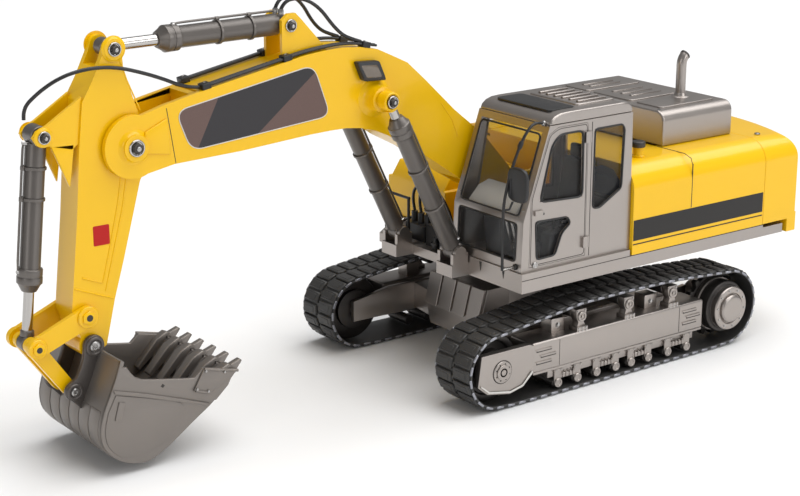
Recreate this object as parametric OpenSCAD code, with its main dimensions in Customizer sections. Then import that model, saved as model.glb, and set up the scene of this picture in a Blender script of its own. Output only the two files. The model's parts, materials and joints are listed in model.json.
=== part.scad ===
// Toy crawler excavator with a working boom, arm, bucket, slewing house and crawler tracks.
// +X points to the bucket, +Y to the cab side and +Z up. The tracks stand on z = 0.
// Shapes are laid out about the slewing axis, then moved so that the origin is the centre of the base.

/* [Crawler tracks] */
// Overall width over both track belts
track_width = 205; // [180:1:240]
// Width of one track belt
shoe_width = 40; // [30:1:50]
// Thickness of a track belt with its pads
belt_t = 3.2; // [2.6:0.1:4]
// Front idler axle, ahead of the slewing axis
idler_x = 113; // [100:1:125]
// Front idler axle height
idler_z = 28.8; // [27:0.1:31]
// Outside radius of the belt round the idler
idler_wrap_r = 28.2; // [26:0.1:30]
// Drive sprocket axle, behind the slewing axis
sprocket_x = 114; // [100:1:125]
// Drive sprocket axle height
sprocket_z = 31; // [29:0.1:33]
// Outside radius of the belt round the sprocket
sprocket_wrap_r = 30.4; // [28:0.1:32]
// Height of the belt's top run over the carrier rollers
top_run_z = 66; // [60:0.5:70]

/* [House] */
// Underside of the slewing platform
deck_z = 81; // [76:0.5:88]
// Half width of the house
house_half = 100; // [90:1:102]
// Front edge of the platform, ahead of the slewing axis
house_front = 93.5; // [80:0.5:100]
// Radius of the counterweight about the slewing axis
tail_r = 212; // [190:1:230]
// Height of the yellow side panels
panel_top_z = 156; // [145:1:165]
// Height of the engine hood
hood_top_z = 182.5; // [170:0.5:195]
// Height of the cab roof
cab_top_z = 204; // [190:1:215]

/* [Boom, arm and bucket] */
// Half width of the boom
boom_half = 16.5; // [14:0.5:18]
// Half width of the arm
arm_half = 11.5; // [9:0.5:12]
// Half width of the bucket
bucket_half = 44; // [38:1:50]
// Thickness of the boom and link plates
plate_t = 3.8; // [3:0.1:5]

/* [Fits] */
// Radial clearance of a pin or rod that turns or slides in its bore
run_fit = 0.05; // [0.02:0.01:0.1]
// Gap between pieces that move past each other
gap = 0.4; // [0.3:0.05:1]

/* [Hidden] */
$fn = 48;

// Pivots, as [x, z] about the slewing axis
boom_foot = [22, 128];
boom_cyl_base = [101, 98];
boom_cyl_pin = [158, 214];
arm_cyl_base = [222, 269];
arm_cyl_pin = [353.5, 267.5];
arm_pivot = [344.5, 205];
bucket_cyl_base = [403, 218];
rocker_pivot = [382, 100];
rocker_pin = [417.5, 86];
bucket_pivot = [378.5, 80];
bucket_link_pin = [394, 52.5];

// The rocker eye is the foremost point and the counterweight the rearmost one
rocker_eye_r = 6.5;
front_reach = rocker_pin[0] + rocker_eye_r;
centre_x = (front_reach - tail_r) / 2;

belt_out = track_width / 2;
belt_in = belt_out - shoe_width;
ring_z = 62;
bearing_z = 71;
deck_t = 7;
panel_low_z = 90.5;
shoulder_r = 18;
cab_floor_z = 95;
cab_in_y = 21;
cab_out_y = 97;
cab_wall = 2;
roof_z = 196;
hinge_x = 31.5;
hinge_y = 98.2;

// Belt loop: idler arc, top run over the carrier rollers, sprocket arc, flat bottom run
function arc_points(x, z, r, a0, a1, n) =
    [for (i = [0:n]) let (a = a0 + (a1 - a0) * i / n) [x + r * cos(a), z + r * sin(a)]];
function belt_loop(d) = concat(
    arc_points(idler_x, idler_z, idler_wrap_r - d, -80, 78, 12),
    [[38, top_run_z - d], [-11, top_run_z + 0.5 - d], [-58, top_run_z - 0.5 - d]],
    arc_points(-sprocket_x, sprocket_z, sprocket_wrap_r - d, 98, 262, 12),
    [[-100, d], [98, d]]);

// Cab side outline from the front sill, over the sloping windscreen, to the rear sill
cab_side = [[92, cab_floor_z], [90.5, 131], [68.3, roof_z], [-10, roof_z], [-11, cab_floor_z]];
cab_hollow = [[90, 97], [88.5, 130.6], [66.2, roof_z + 1], [-8, roof_z + 1], [-9, 97]];
door_side = [[84.6, 98], [84, 146], [68.4, 190], [60, 194], [34, 194], [32.7, 192], [32.7, 98]];
door_light = [[76, 143.5], [66, 182], [59, 189], [37, 189], [36.5, 141.5]];
door_low_light = [[79.5, 130], [50, 129], [47, 124], [55, 118], [61, 103], [78, 102.5]];
rear_light = [[26, 188.5], [0, 188.5], [-2.5, 185], [-1, 142], [20, 130.5], [26.5, 131.5]];

// Boom top edge and bottom edge, from the tip to the foot
boom_top = [[322, 229], [295, 234.5], [265, 240], [234, 245.5], [215, 249], [200, 250.5], [185, 251.2],
    [170, 250], [155, 247], [141, 240.5], [129.5, 235], [113.7, 221], [87, 196], [60, 174.5], [30, 141]];
boom_bottom = [[316, 190], [297, 190.5], [266, 191.5], [235, 193.5], [211, 195], [195, 195.5],
    [182, 195.5], [170, 194], [157, 190.5], [146, 185.5], [136, 179], [117, 169], [97, 155.5], [78, 143],
    [30, 114.5]];
boom_tip_r = 20.5;
boom_foot_r = 14;
boom_lug_out = 11.2;
arm_lug_out = 10;
flange_t = 4;
web_first = 1;
web_last = 13;

arm_outline = [[348, 271], [359, 271], [362, 263], [369, 249], [376.5, 236.5], [380, 207], [384, 163],
    [389, 119], [391, 102], [385, 84], [370, 76], [367.5, 77.5], [360.3, 106.7], [352.6, 132],
    [344.6, 160.4], [338.5, 182], [329, 196], [329, 214], [338, 226], [341, 235], [347, 253]];
arm_slot = [[340, 300], [340, 262], [345, 257], [366, 257], [366, 300]];

bucket_side = [[375, 77], [382.5, 57], [388, 45], [391, 33], [389, 21.5], [380, 12], [370, 7.3],
    [357, 7.3], [343, 13.5], [307.5, 36], [291, 52], [293, 56], [320, 55], [361, 62], [367, 65],
    [371, 71]];
bucket_bowl = [[372.8, 68], [379.5, 55.5], [385, 44], [387.8, 33], [386, 22.8], [378.5, 14.8],
    [369.3, 10.3], [357.6, 10.3], [344.4, 16.2], [309.3, 38.5], [285, 62], [300, 90], [372, 90]];
tooth_count = 6;
tooth_y = 7.2;

module part_at_origin() {
    translate([-centre_x, 0, 0]) children();
}

module on_side(side) {
    if (side < 0) mirror([0, 1, 0]) children();
    else children();
}

// Outline in the x-z plane, made solid from y0 to y1
module plate(points, y0, y1) {
    translate([0, y1, 0]) rotate([90, 0, 0]) linear_extrude(y1 - y0) polygon(points);
}

// Round bar along Y from y0 to y1 about [x, z]
module bar(at, r, y0, y1) {
    translate([at[0], y1, at[1]]) rotate([90, 0, 0]) cylinder(r = r, h = y1 - y0);
}

// Straight plate with round ends between two pivots
module link(a, b, ra, rb, y0, y1) {
    translate([0, y1, 0]) rotate([90, 0, 0]) linear_extrude(y1 - y0) hull() {
        translate(a) circle(r = ra);
        translate(b) circle(r = rb);
    }
}

module block(x0, x1, y0, y1, z0, z1) {
    translate([x0, y0, z0]) cube([x1 - x0, y1 - y0, z1 - z0]);
}

// Moves a cylinder laid along +X to a base pivot and turns it towards a pin
module aim(base, pin) {
    translate([base[0], 0, base[1]]) rotate([0, -atan2(pin[1] - base[1], pin[0] - base[0]), 0]) children();
}

module chassis_frame() {
    arm_top_z = 42;
    arm_low_z = 22;
    color([0.58, 0.56, 0.54]) union() {
        plate([[74, 39], [68, ring_z], [-68, ring_z], [-74, 39], [-70, 20], [70, 20]], -33, 33);
        for (end = [-1, 1]) for (side = [-1, 1]) linear_extrude_at(arm_low_z, arm_top_z)
            polygon([[end * 20, side * 30], [end * 66, side * 30], [end * 60, side * 66], [end * 38, side * 66]]);
        difference() {
            translate([0, 0, 40]) cylinder(r = 58, h = ring_z - 40);
            translate([0, 0, 30]) cylinder(r = 20, h = 60);
        }
    }
}

module linear_extrude_at(z0, z1) {
    translate([0, 0, z0]) linear_extrude(z1 - z0) children();
}

module chassis_cover() {
    rib_w = 14.4;
    rib_step = 16.4;
    color([0.72, 0.70, 0.68]) for (end = [-1, 1]) for (i = [-1.5:1:1.5])
        translate([0, i * rib_step, 0]) mirror([end < 0 ? 1 : 0, 0, 0])
            plate([[74, 39], [68, ring_z], [70.6, ring_z], [76.8, 38]], -rib_w / 2, rib_w / 2);
}

module slew_ring() {
    color([0.35, 0.34, 0.33]) difference() {
        union() {
            translate([0, 0, ring_z]) cylinder(r = 47, h = bearing_z - ring_z - gap);
            translate([0, 0, ring_z]) cylinder(r = 33, h = 16);
        }
        translate([0, 0, ring_z - 5]) cylinder(r = 24, h = 30);
    }
}

module slew_bearing() {
    color([0.35, 0.34, 0.33]) difference() {
        translate([0, 0, bearing_z]) cylinder(r = 44, h = deck_z - bearing_z);
        translate([0, 0, bearing_z - 5]) cylinder(r = 33 + run_fit, h = 20);
    }
}

module track_frame(side) {
    in_y = 66;
    out_y = 101;
    color([0.66, 0.64, 0.61]) on_side(side) union() {
        difference() {
            plate([[83, 20.4], [83, 42.7], [-87, 42.7], [-87, 20.4]], 76, out_y);
            for (x = [41, 47, 53]) translate([x + 26, out_y - 0.8, 29.5]) cube([2, 5, 6], center = true);
        }
        plate([[118, 21], [118, 37], [83, 42.7], [-87, 42.7], [-100, 44], [-100, 18], [-87, 20.4], [83, 20.4]],
            in_y, 70);
        block(-80, 78, 69, 77, 24, 38);
        block(70, 118, 94.2, 97, 23, 36);
        bar([idler_x, idler_z], 4, 69, 95);
        bar([-sprocket_x, sprocket_z], 15, in_y - 2, 76);
        bar([-sprocket_x, sprocket_z], 6, 75, 96);
        for (x = [51, -41]) block(x - 6, x + 6, 80, 90, 42, 52);
    }
}

module idler_guard(side) {
    color([0.68, 0.66, 0.63]) on_side(side) union() {
        plate([[130.5, 43.5], [87, 43.5], [83.2, 42], [83.2, 22], [93, 13.5], [105, 11], [125, 14.8],
            [133.5, 21.5]], 97, 102.6);
        bar([idler_x - 1, idler_z], 5.5, 102, 104.4);
    }
}

module track_belt(side) {
    color([0.17, 0.17, 0.17]) on_side(side) difference() {
        plate(belt_loop(0), belt_in, belt_out);
        plate(belt_loop(belt_t), belt_in - 1, belt_out + 1);
    }
}

module track_rollers(side) {
    color([0.62, 0.60, 0.57]) on_side(side) union() {
        block(-80, 66, 84, 98, 10.5, 20.4);
        for (x = [57.4, 38.7, 20, 1, -14.5, -32, -52.3, -72]) {
            bar([x, 7.8], 4, 76, 101);
            block(x - 3.5, x + 3.5, 98, 100.4, 7.8, 18);
        }
        for (x = [35.4, -11.4, -56]) {
            block(x - 4.5, x + 4.5, 90, 99, 42.7, 55);
            bar([x, 55.5], 5.2, 76, 99.5);
        }
    }
}

module sprocket(side) {
    tooth_r = 26.3;
    root_r = 22;
    teeth = 15;
    color([0.50, 0.48, 0.46]) on_side(side) translate([-sprocket_x, 0, sprocket_z]) difference() {
        union() {
            for (i = [0:teeth - 1]) rotate([0, i * 360 / teeth, 0])
                plate([[-2.6, root_r - 2], [2.6, root_r - 2], [0.7, tooth_r], [-0.7, tooth_r]], 79, 84);
            bar([0, 0], root_r, 79, 84);
            bar([0, 0], 20, 84, 100);
            bar([0, 0], 16.5, 100, 105);
            bar([0, 0], 11, 105, 107);
        }
        bar([0, 0], 6 + run_fit, 70, 97);
    }
}

module idler(side) {
    color([0.55, 0.53, 0.51]) on_side(side) difference() {
        union() {
            bar([idler_x, idler_z], idler_wrap_r - belt_t - gap, 76, 90);
            bar([idler_x, idler_z], 15, 72, 93.6);
        }
        bar([idler_x, idler_z], 4 + run_fit, 70, 96);
    }
}

module platform() {
    chamfer = 50;
    base_in = 24;
    base_out = 42;
    pin_r = 3;
    color([0.68, 0.66, 0.63]) union() {
        difference() {
            linear_extrude_at(deck_z, deck_z + deck_t) polygon(concat(
                [[house_front, -66], [house_front, house_half], [-172, house_half]],
                [for (a = [154:8:206]) [198 * cos(a), 190 * sin(a)]],
                [[-172, -house_half], [chamfer, -house_half]]));
            translate([0, 0, deck_z - 1]) cylinder(r = 26, h = 20);
        }
        difference() {
            block(-150, -9, -house_half, house_half, 88, 90.5);
            translate([0, 0, 80]) cylinder(r = 26, h = 20);
            block(-10, -8, -20, 20, 80, 92);
        }
        block(-9, house_front, cab_in_y + 1, house_half, 88, cab_floor_z);
        block(-9, 62, -house_half, -26, 88, 92);
        for (side = [-1, 1]) on_side(side) {
            block(88, 109, base_in, base_out, deck_z, 90);
            for (y = [base_in, base_out - 3]) {
                block(94.4, 108, y, y + 3, 88, 98);
                bar(boom_cyl_base, 5, y, y + 3);
            }
            bar(boom_cyl_base, pin_r, base_in, base_out);
        }
    }
}

module slew_motor() {
    color([0.30, 0.30, 0.31]) translate([-40, 0, 90.5]) union() {
        cylinder(r = 9, h = 18);
        translate([0, 0, 18]) cylinder(r = 3, h = 3);
    }
}

module boom_tower() {
    in_y = boom_half + 0.6;
    out_y = 20.3;
    color([0.93, 0.72, 0.05]) union() {
        for (side = [-1, 1]) on_side(side)
            plate([[-7, 88], [62, 88], [62, 98], [39, 138], [30, 143], [14, 143], [5, 138], [-7, 108]],
                in_y, out_y);
        bar(boom_foot, 5, -out_y, out_y);
        block(-7, 62, -out_y, out_y, 88, 92);
    }
}

module cab_frame() {
    color([0.68, 0.66, 0.63]) difference() {
        plate(cab_side, cab_in_y, cab_out_y);
        plate(cab_hollow, cab_in_y + cab_wall, cab_out_y - cab_wall);
        plate(rear_light, cab_out_y - 10, cab_out_y + 1);
        plate([[84.9, 97.7], [84.3, 146], [68.6, 190.2], [60.2, 194.3], [33.9, 194.3], [32.4, 192], [32.4, 97.7]],
            cab_out_y - 10, cab_out_y + 1);
        plate([[100, 134], [100, 191], [60, 191], [80, 134]], cab_in_y + 5, cab_out_y - 6);
        block(80, 100, cab_in_y + 6, cab_out_y - 7, 102, 129);
        block(-20, 0, cab_in_y + 8, cab_out_y - 8, 130, 188);
        plate([[70, 136], [60, 188], [0, 188], [0, 130]], cab_in_y - 1, cab_in_y + 10);
    }
}

module cab_roof() {
    color([0.68, 0.66, 0.63]) difference() {
        union() {
            plate([[68.3, roof_z], [64, cab_top_z - 2], [60, cab_top_z], [-6, cab_top_z],
                [-10, cab_top_z - 3], [-10, roof_z]], cab_in_y, cab_out_y);
            block(6, 40, cab_in_y + 16, cab_out_y - 16, cab_top_z - 1, cab_top_z + 1.6);
        }
        plate([[64, roof_z - 1], [60, cab_top_z - 3], [-6, cab_top_z - 3], [-6, roof_z - 1]],
            cab_in_y + 3, cab_out_y - 3);
    }
}

module cab_glass() {
    t = 0.8;
    color([0.25, 0.28, 0.30, 0.4]) union() {
        plate([[87.4, 132.9], [87.4 - t, 132.9], [67.1 - t, 192.5], [67.1, 192.5]],
            cab_in_y + cab_wall + 1, cab_out_y - cab_wall - 1);
        plate([[89.7, 100.5], [88.4, 129.9], [88.4 - t, 129.9], [89.7 - t, 100.5]],
            cab_in_y + cab_wall + 1, cab_out_y - cab_wall - 1);
        plate([[28.5, 190], [-2, 190], [-4, 186], [-3, 140], [20, 128.5], [28.5, 129.5]],
            cab_out_y - cab_wall - t, cab_out_y - cab_wall);
        plate([[73, 134], [62, 190], [-2, 190], [-2, 128]], cab_in_y + cab_wall, cab_in_y + cab_wall + t);
        plate([[-8.2, 128], [-7.9, 190], [-7.9 + t, 190], [-8.2 + t, 128]], cab_in_y + 6, cab_out_y - 6);
    }
}

module cab_seat() {
    color([0.20, 0.20, 0.21]) union() {
        block(8, 40, 44, 74, 97, 112);
        plate([[10, 108], [16, 108], [8, 158], [2, 158]], 45, 73);
        plate([[38, 112], [12, 112], [12, 120], [36, 120]], 46, 72);
    }
}

module cab_controls() {
    color([0.24, 0.24, 0.25]) union() {
        block(46, 82, 30, 40, 97, 118);
        block(46, 60, 80, 90, 97, 118);
        for (y = [35, 85]) {
            translate([52, y, 117]) cylinder(r = 1.2, h = 16);
            translate([52, y, 134]) sphere(r = 3);
        }
        block(70, 76, 48, 56, 97, 103);
        block(70, 76, 62, 70, 97, 103);
    }
}

module cab_door() {
    color([0.68, 0.66, 0.63]) union() {
        difference() {
            plate(door_side, cab_out_y - cab_wall, cab_out_y);
            plate(door_light, cab_out_y - 5, cab_out_y + 1);
            plate(door_low_light, cab_out_y - 5, cab_out_y + 1);
        }
        for (z = [104, 180]) {
            translate([hinge_x, hinge_y, z]) cylinder(r = 1.1, h = 8);
            block(hinge_x, 36, cab_out_y, hinge_y + 0.8, z, z + 8);
        }
        block(74, 81, cab_out_y, cab_out_y + 1.5, 134.5, 138);
    }
}

module door_glass() {
    t = 0.8;
    color([0.25, 0.28, 0.30, 0.4]) union() {
        plate([[77.5, 142.5], [67, 183.5], [59.5, 190.5], [35, 190.5], [35, 140]],
            cab_out_y - cab_wall - t, cab_out_y - cab_wall);
        plate([[81, 131.5], [49, 130.5], [45.5, 124], [54, 117], [60, 101.5], [80, 101]],
            cab_out_y - cab_wall - t, cab_out_y - cab_wall);
    }
}

module cab_mirror() {
    rail_y = 91;
    glass_x = 97;
    corner_r = 5;
    color([0.10, 0.10, 0.10]) union() {
        tube([for (p = mirror_rail) [p[0], rail_y, p[1]]], 1.1, [0, 1, 0]);
        translate([92, rail_y, 98.5]) rotate([0, 90, 0]) cylinder(r = 1.1, h = 12);
        translate([glass_x, 0, 0]) rotate([90, 0, 90]) linear_extrude(3) hull()
            for (y = [93.5, 101.5]) for (z = [151, 164]) translate([y, z]) circle(r = corner_r);
    }
}

// Outer side and rounded upper edge of the yellow body, up to its flat top
function shoulder(half) = concat([[half, panel_low_z]],
    [for (a = [0:9:90]) [half - shoulder_r + shoulder_r * cos(a), panel_top_z - shoulder_r + shoulder_r * sin(a)]]);

module side_panel(side) {
    rear_x = -149;
    front_x = side > 0 ? -11.1 : -9.1;
    color([0.95, 0.77, 0.02]) on_side(side) union() {
        translate([rear_x, 0, 0]) rotate([90, 0, 90]) linear_extrude(front_x - rear_x)
            polygon(concat(shoulder(house_half), [[60, panel_top_z], [60, 152], [78, 150], [88, 140],
                [88, panel_low_z]]));
        if (side > 0) translate([-37, 76, panel_top_z - 0.5]) cylinder(r = 3.6, h = 9.5);
    }
}

module tank_right() {
    color([0.95, 0.77, 0.02]) union() {
        block(-8.5, 60, -house_half, -28, 92, 122);
        plate([[-8.5, 122], [60, 122], [52, 134], [-8.5, 134]], -house_half + 4, -30);
        translate([34, -70, 134]) cylinder(r = 5, h = 2.5);
    }
}

module counterweight() {
    lip_low_z = 80;
    front_x = -149.4;
    back_x = -220;
    edge = shoulder(house_half);
    color([0.95, 0.77, 0.02]) difference() {
        union() {
            intersection() {
                rotate_extrude($fn = 180)
                    polygon(concat(shoulder(tail_r - 1), [[0, panel_top_z], [0, panel_low_z]]));
                translate([back_x, 0, 0]) rotate([90, 0, 90]) linear_extrude(front_x - back_x)
                    polygon(concat(edge, [for (i = [len(edge) - 1:-1:0]) [-edge[i][0], edge[i][1]]]));
            }
            intersection() {
                translate([0, 0, lip_low_z]) cylinder(r = tail_r, h = 18);
                block(back_x, -177, -house_half, house_half, 79, 95);
            }
        }
        translate([0, 0, 79]) cylinder(r = 199, h = 11.5);
        block(-185, -140, -60, 60, 89, 140);
    }
}

module deck_cover() {
    half = 59.6;
    front_x = -9;
    color([0.95, 0.77, 0.02]) union() {
        block(-71.6, front_x - 2.2, -half, half, 152, 155.6);
        block(front_x - 2.4, front_x, -87.6, cab_in_y - 0.6, 90.7, 139.5);
        block(front_x - 2.4, front_x, -77.6, cab_in_y - 0.6, 139, 149.8);
        block(front_x - 2.4, front_x, -half, cab_in_y - 0.6, 149, 155.6);
    }
}

module engine_hood() {
    x0 = -146;
    x1 = -72;
    half = 66;
    round_r = 8;
    color([0.66, 0.64, 0.61]) difference() {
        translate([x0, 0, 0]) rotate([90, 0, 90]) linear_extrude(x1 - x0) hull() {
            for (s = [-1, 1]) {
                translate([s * (half - round_r), hood_top_z - round_r]) circle(r = round_r);
                translate([s * (half - 1), panel_top_z + 1]) square(2, center = true);
            }
        }
        block(x0 + 3, x1 - 3, -half + 4, half - 4, 150, hood_top_z - 4);
    }
}

module exhaust_pipe() {
    r = 4;
    bend_r = 9;
    top_z = 208;
    color([0.45, 0.44, 0.43]) translate([-122.5, 33, 0]) union() {
        translate([0, 0, hood_top_z]) cylinder(r = 6.5, h = 1.5);
        translate([0, 0, hood_top_z]) cylinder(r = r, h = top_z - hood_top_z);
        translate([-bend_r, 0, top_z]) rotate([90, 0, 0]) rotate_extrude(angle = 55)
            translate([bend_r, 0]) circle(r = r);
    }
}

module hand_rails() {
    rail_r = 1.1;
    color([0.12, 0.12, 0.12]) union() {
        for (p = [[-62, 88], [-34, 90]]) translate([90, p[0], p[1]]) cylinder(r = rail_r, h = 122 - p[1]);
        bar([90, 121], rail_r, -63, -33);
        for (y = [6, 14]) translate([90.5, y, deck_z + deck_t]) cylinder(r = 1.3, h = 22);
        bar([90.5, 110], 1.3, 5, 15);
    }
}

module battery_pack() {
    color([0.15, 0.25, 0.45]) block(-140, -78, -28, 28, 90.5, 120);
}

module control_unit() {
    color([0.10, 0.35, 0.20]) union() {
        block(-136, -86, 36, 82, 92, 94);
        block(-128, -108, 44, 74, 94, 104);
        for (x = [-130, -92]) for (y = [42, 76]) translate([x, y, 90.5]) cylinder(r = 2, h = 1.5);
    }
}

module valve_block() {
    color([0.16, 0.16, 0.16]) union() {
        block(68, 86, -18, 14, 88, 104);
        for (i = [0:2]) translate([hose_x, hose_y0 + hose_step * i, 104]) cylinder(r = 2.5, h = 4);
        block(72, 84, -45.5, -22.5, 88, 100);
        for (i = [0:2]) translate([hose_x, hose_y1 + hose_step * i, 100]) cylinder(r = 2.5, h = 8);
    }
}

module body_screws() {
    color([0.60, 0.58, 0.56]) union() {
        for (x = [0, 56]) for (y = [-15, 15]) translate([x, y, 92]) cylinder(r = 2, h = 1.6, $fn = 6);
        for (y = [-80, -40, 40, 80]) translate([-160, y, panel_top_z]) cylinder(r = 2.4, h = 1.4, $fn = 6);
    }
}

module boom_plate_outline() {
    polygon(concat([[344.5, 205], [340, 224]], boom_top, [boom_foot], [for (i = [len(boom_bottom) - 1:-1:0])
        boom_bottom[i]], [[339, 186]]));
    translate(arm_pivot) circle(r = boom_tip_r);
    translate(boom_foot) circle(r = boom_foot_r);
}

module boom() {
    web_top = [for (i = [web_first:web_last]) boom_top[i]];
    web_low = [for (i = [web_last:-1:web_first]) boom_top[i] - [0, flange_t]];
    low_low = [for (i = [web_first:web_last]) boom_bottom[i]];
    low_top = [for (i = [web_last:-1:web_first]) boom_bottom[i] + [0, flange_t]];
    in_y = boom_half - plate_t;
    boss_r = 9;
    color([0.93, 0.72, 0.05]) difference() {
        union() {
            for (side = [-1, 1]) on_side(side) {
                translate([0, boom_half, 0]) rotate([90, 0, 0]) linear_extrude(plate_t) boom_plate_outline();
                bar(boom_cyl_pin, boss_r, boom_half - 1, 27);
                bar(arm_pivot, 8.5, boom_half - 1, 20);
            }
            plate(concat(web_top, web_low), -in_y - 0.5, in_y + 0.5);
            plate(concat(low_low, low_top), -in_y - 0.5, in_y + 0.5);
            bar(boom_foot, boom_foot_r, -in_y - 0.5, in_y + 0.5);
            plate([[297, 190.5], [301, 190.5], [301, 233], [297, 234]], -in_y - 0.5, in_y + 0.5);
            for (side = [-1, 1]) on_side(side) difference() {
                plate([[229, 244], [229, 273], [224, 277], [218, 277], [214, 273], [192, 249], [205, 246]], 8.4, boom_lug_out);
                bar(arm_cyl_base, 3.5, 5, 14);
            }
        }
        bar(boom_foot, 5 + run_fit, -30, 30);
        bar(arm_pivot, 5, -30, 30);
        bar(boom_cyl_pin, 3.5, 10, 40);
        bar(boom_cyl_pin, 3.5, -40, -10);
    }
}

module boom_pipes() {
    pipe_r = 1.3;
    pipe_y = 12.9;
    clamp = [7, 5.5, 3.6];
    route = [[287, 237.9], [265, 242], [234, 247.5], [215, 251], [200, 252.6], [185, 253.4], [170, 252.4],
        [155, 249.4]];
    color([0.25, 0.25, 0.26]) for (y = [-pipe_y, pipe_y]) union() {
        tube([for (p = route) [p[0], y, p[1]]], pipe_r, [0, 1, 0]);
        translate([290.3, y, 237.3]) rotate([0, 10.4, 0]) cube(clamp, center = true);
        translate([164, y, 250.8]) rotate([0, -11.3, 0]) cube(clamp, center = true);
    }
}

module work_lamp() {
    color([0.10, 0.10, 0.10]) union() {
        plate([[176, 241], [157, 240], [151, 226], [170, 227]], boom_half + 0.7, 21);
        block(160, 168, boom_half, boom_half + 1, 230, 236);
    }
}

module boom_pins() {
    color([0.42, 0.41, 0.40]) union() {
        bar(arm_pivot, 5 - run_fit, -23, 23);
        for (side = [-1, 1]) on_side(side) {
            bar(arm_pivot, 6.5, 20, 23);
            bar(boom_cyl_pin, 3.5 - run_fit, 14, 28.6);
            bar(boom_cyl_pin, 3, 28, 40);
            bar(boom_cyl_pin, 5, 38.6, 41);
            bar(arm_cyl_base, 3.5 - run_fit, 6.6, 12.2);
            bar(arm_cyl_base, 5, boom_lug_out, 13.4);
        }
        bar(arm_cyl_base, 2.6, -8, 8);
    }
}

module arm() {
    wall = 2.6;
    lug_in = 7.4;
    color([0.93, 0.72, 0.05]) difference() {
        union() {
            plate(arm_outline, -arm_half, arm_half);
            bar(arm_cyl_pin, 6.5, -arm_half, arm_half);
            bar(bucket_pivot, 8.6, -arm_half, arm_half);
            for (side = [-1, 1]) on_side(side) {
                plate([[376, 240], [400, 225], [407, 222], [410, 218], [407, 213], [400, 212], [384, 208],
                    [378, 212]], lug_in, arm_lug_out);
            }
        }
        plate(arm_slot, -7.4, 7.4);
        plate([[366, 238], [374, 232], [377, 207], [381, 163], [385, 124], [360, 124], [349, 160],
            [343, 182], [343, 186], [362, 200], [362, 212], [352, 226], [352, 234]], -arm_half + wall, arm_half - wall);
        bar(arm_pivot, 5, -30, 30);
        bar(arm_cyl_pin, 3.5, -30, 30);
        bar(rocker_pivot, 4, -30, 30);
        bar(bucket_pivot, 4, -30, 30);
        bar(bucket_cyl_base, 3, -30, 30);
    }
}

module arm_pins() {
    color([0.42, 0.41, 0.40]) union() {
        bar(rocker_pivot, 4 - run_fit, -17, 17);
        for (side = [-1, 1]) on_side(side) {
            bar(rocker_pivot, 5.6, 15.9, 17.2);
            bar(arm_cyl_pin, 3.5 - run_fit, 7.6, 13);
            bar(arm_cyl_pin, 5.4, arm_half, 14);
            bar(bucket_cyl_base, 3 - run_fit, 0, 12);
            bar(bucket_cyl_base, 4.6, arm_lug_out, 12.4);
        }
    }
}

// Round tube swept along a route of [x, y, z] points with eight sides; side_dir is never along the route
function ring_at(p, d, r, side_dir) = let (t = d / norm(d), a = cross(t, side_dir) / norm(cross(t, side_dir)),
    b = cross(t, a))
    [for (k = [0:7]) p + r * (cos(k * 45) * a + sin(k * 45) * b)];
module tube(route, r, side_dir) {
    n = len(route);
    rings = [for (i = [0:n - 1])
        each ring_at(route[i], route[min(i + 1, n - 1)] - route[max(i - 1, 0)], r, side_dir)];
    sides = [for (i = [0:n - 2]) for (k = [0:7]) [(i + 1) * 8 + k, (i + 1) * 8 + (k + 1) % 8,
        i * 8 + (k + 1) % 8, i * 8 + k]];
    polyhedron(rings, concat([[for (k = [0:7]) k]], sides, [[for (k = [7:-1:0]) (n - 1) * 8 + k]]));
}

hose_r = 1.2;
arm_hose_route = [[294.2, 12.9, 236.7], [302, 13.2, 238], [311, 14, 241], [320, 14.8, 245], [330, 15.2, 249],
    [340, 15.4, 252.5], [349, 15.4, 255.2], [358, 15.2, 257], [367, 14.6, 257.6], [376, 13.4, 257],
    [385, 11.6, 255], [393, 9.2, 251.5], [399.5, 6.4, 247], [404.8, 3.4, 242], [408.4, 1.2, 237.5],
    [410, 0, 233], [410.5, 0, 228.2]];
// Mirror rail in its own x-z plane, from the windscreen post down to the sill
mirror_rail = [[69.2, 197], [74, 198.6], [80, 197], [86, 190.5], [91, 182], [96, 171], [100, 160], [103, 148],
    [104, 138], [104, 118], [104, 98]];
// Bay hoses stand in arcs between two rows of three studs
hose_x = 78;
hose_y0 = -13;
hose_y1 = -42;
hose_step = 8;
hose_z = 108.4;
hose_rise = 22;
function bay_route(i) = [for (k = [0:10]) let (a = 18 * k)
    [hose_x + 6 * sin(a), hose_step * i + hose_y0 + (hose_y1 - hose_y0) * (1 - cos(a)) / 2,
        hose_z + hose_rise * sin(a)]];

module arm_hose() {
    color([0.08, 0.08, 0.08]) tube(arm_hose_route, hose_r, [0, 1, 0]);
}

module bay_hoses() {
    color([0.08, 0.08, 0.08]) union() {
        for (i = [0:2]) tube(bay_route(i), hose_r, [1, 0, 0]);
    }
}

// Barrel with an eye at the origin and a gland at the far end, along +X
module barrel(len, r, rod_r, eye_r, eye_half, pin_r) {
    gland = 10;
    difference() {
        union() {
            rotate([0, 90, 0]) translate([0, 0, 5.2]) cylinder(r = r, h = len - 5.2);
            translate([len - gland - 4, 0, 0]) rotate([0, 90, 0]) cylinder(r = r + 1.6, h = gland);
            translate([len - 4, 0, 0]) rotate([0, 90, 0]) cylinder(r1 = r + 1.6, r2 = rod_r + 1.2, h = 5);
            for (f = [0.35, 0.66]) translate([len * f, 0, 0]) rotate([0, 90, 0]) cylinder(r = r + 0.9, h = 2.4);
            bar([0, 0], eye_r, -eye_half, eye_half);
        }
        bar([0, 0], pin_r + run_fit, -20, 20);
        translate([eye_r + 2, 0, 0]) rotate([0, 90, 0]) cylinder(r = rod_r + 0.8, h = len - gland - eye_r - 2);
        translate([eye_r + 2, 0, 0]) rotate([0, 90, 0]) cylinder(r = rod_r + run_fit, h = len);
    }
}

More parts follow.
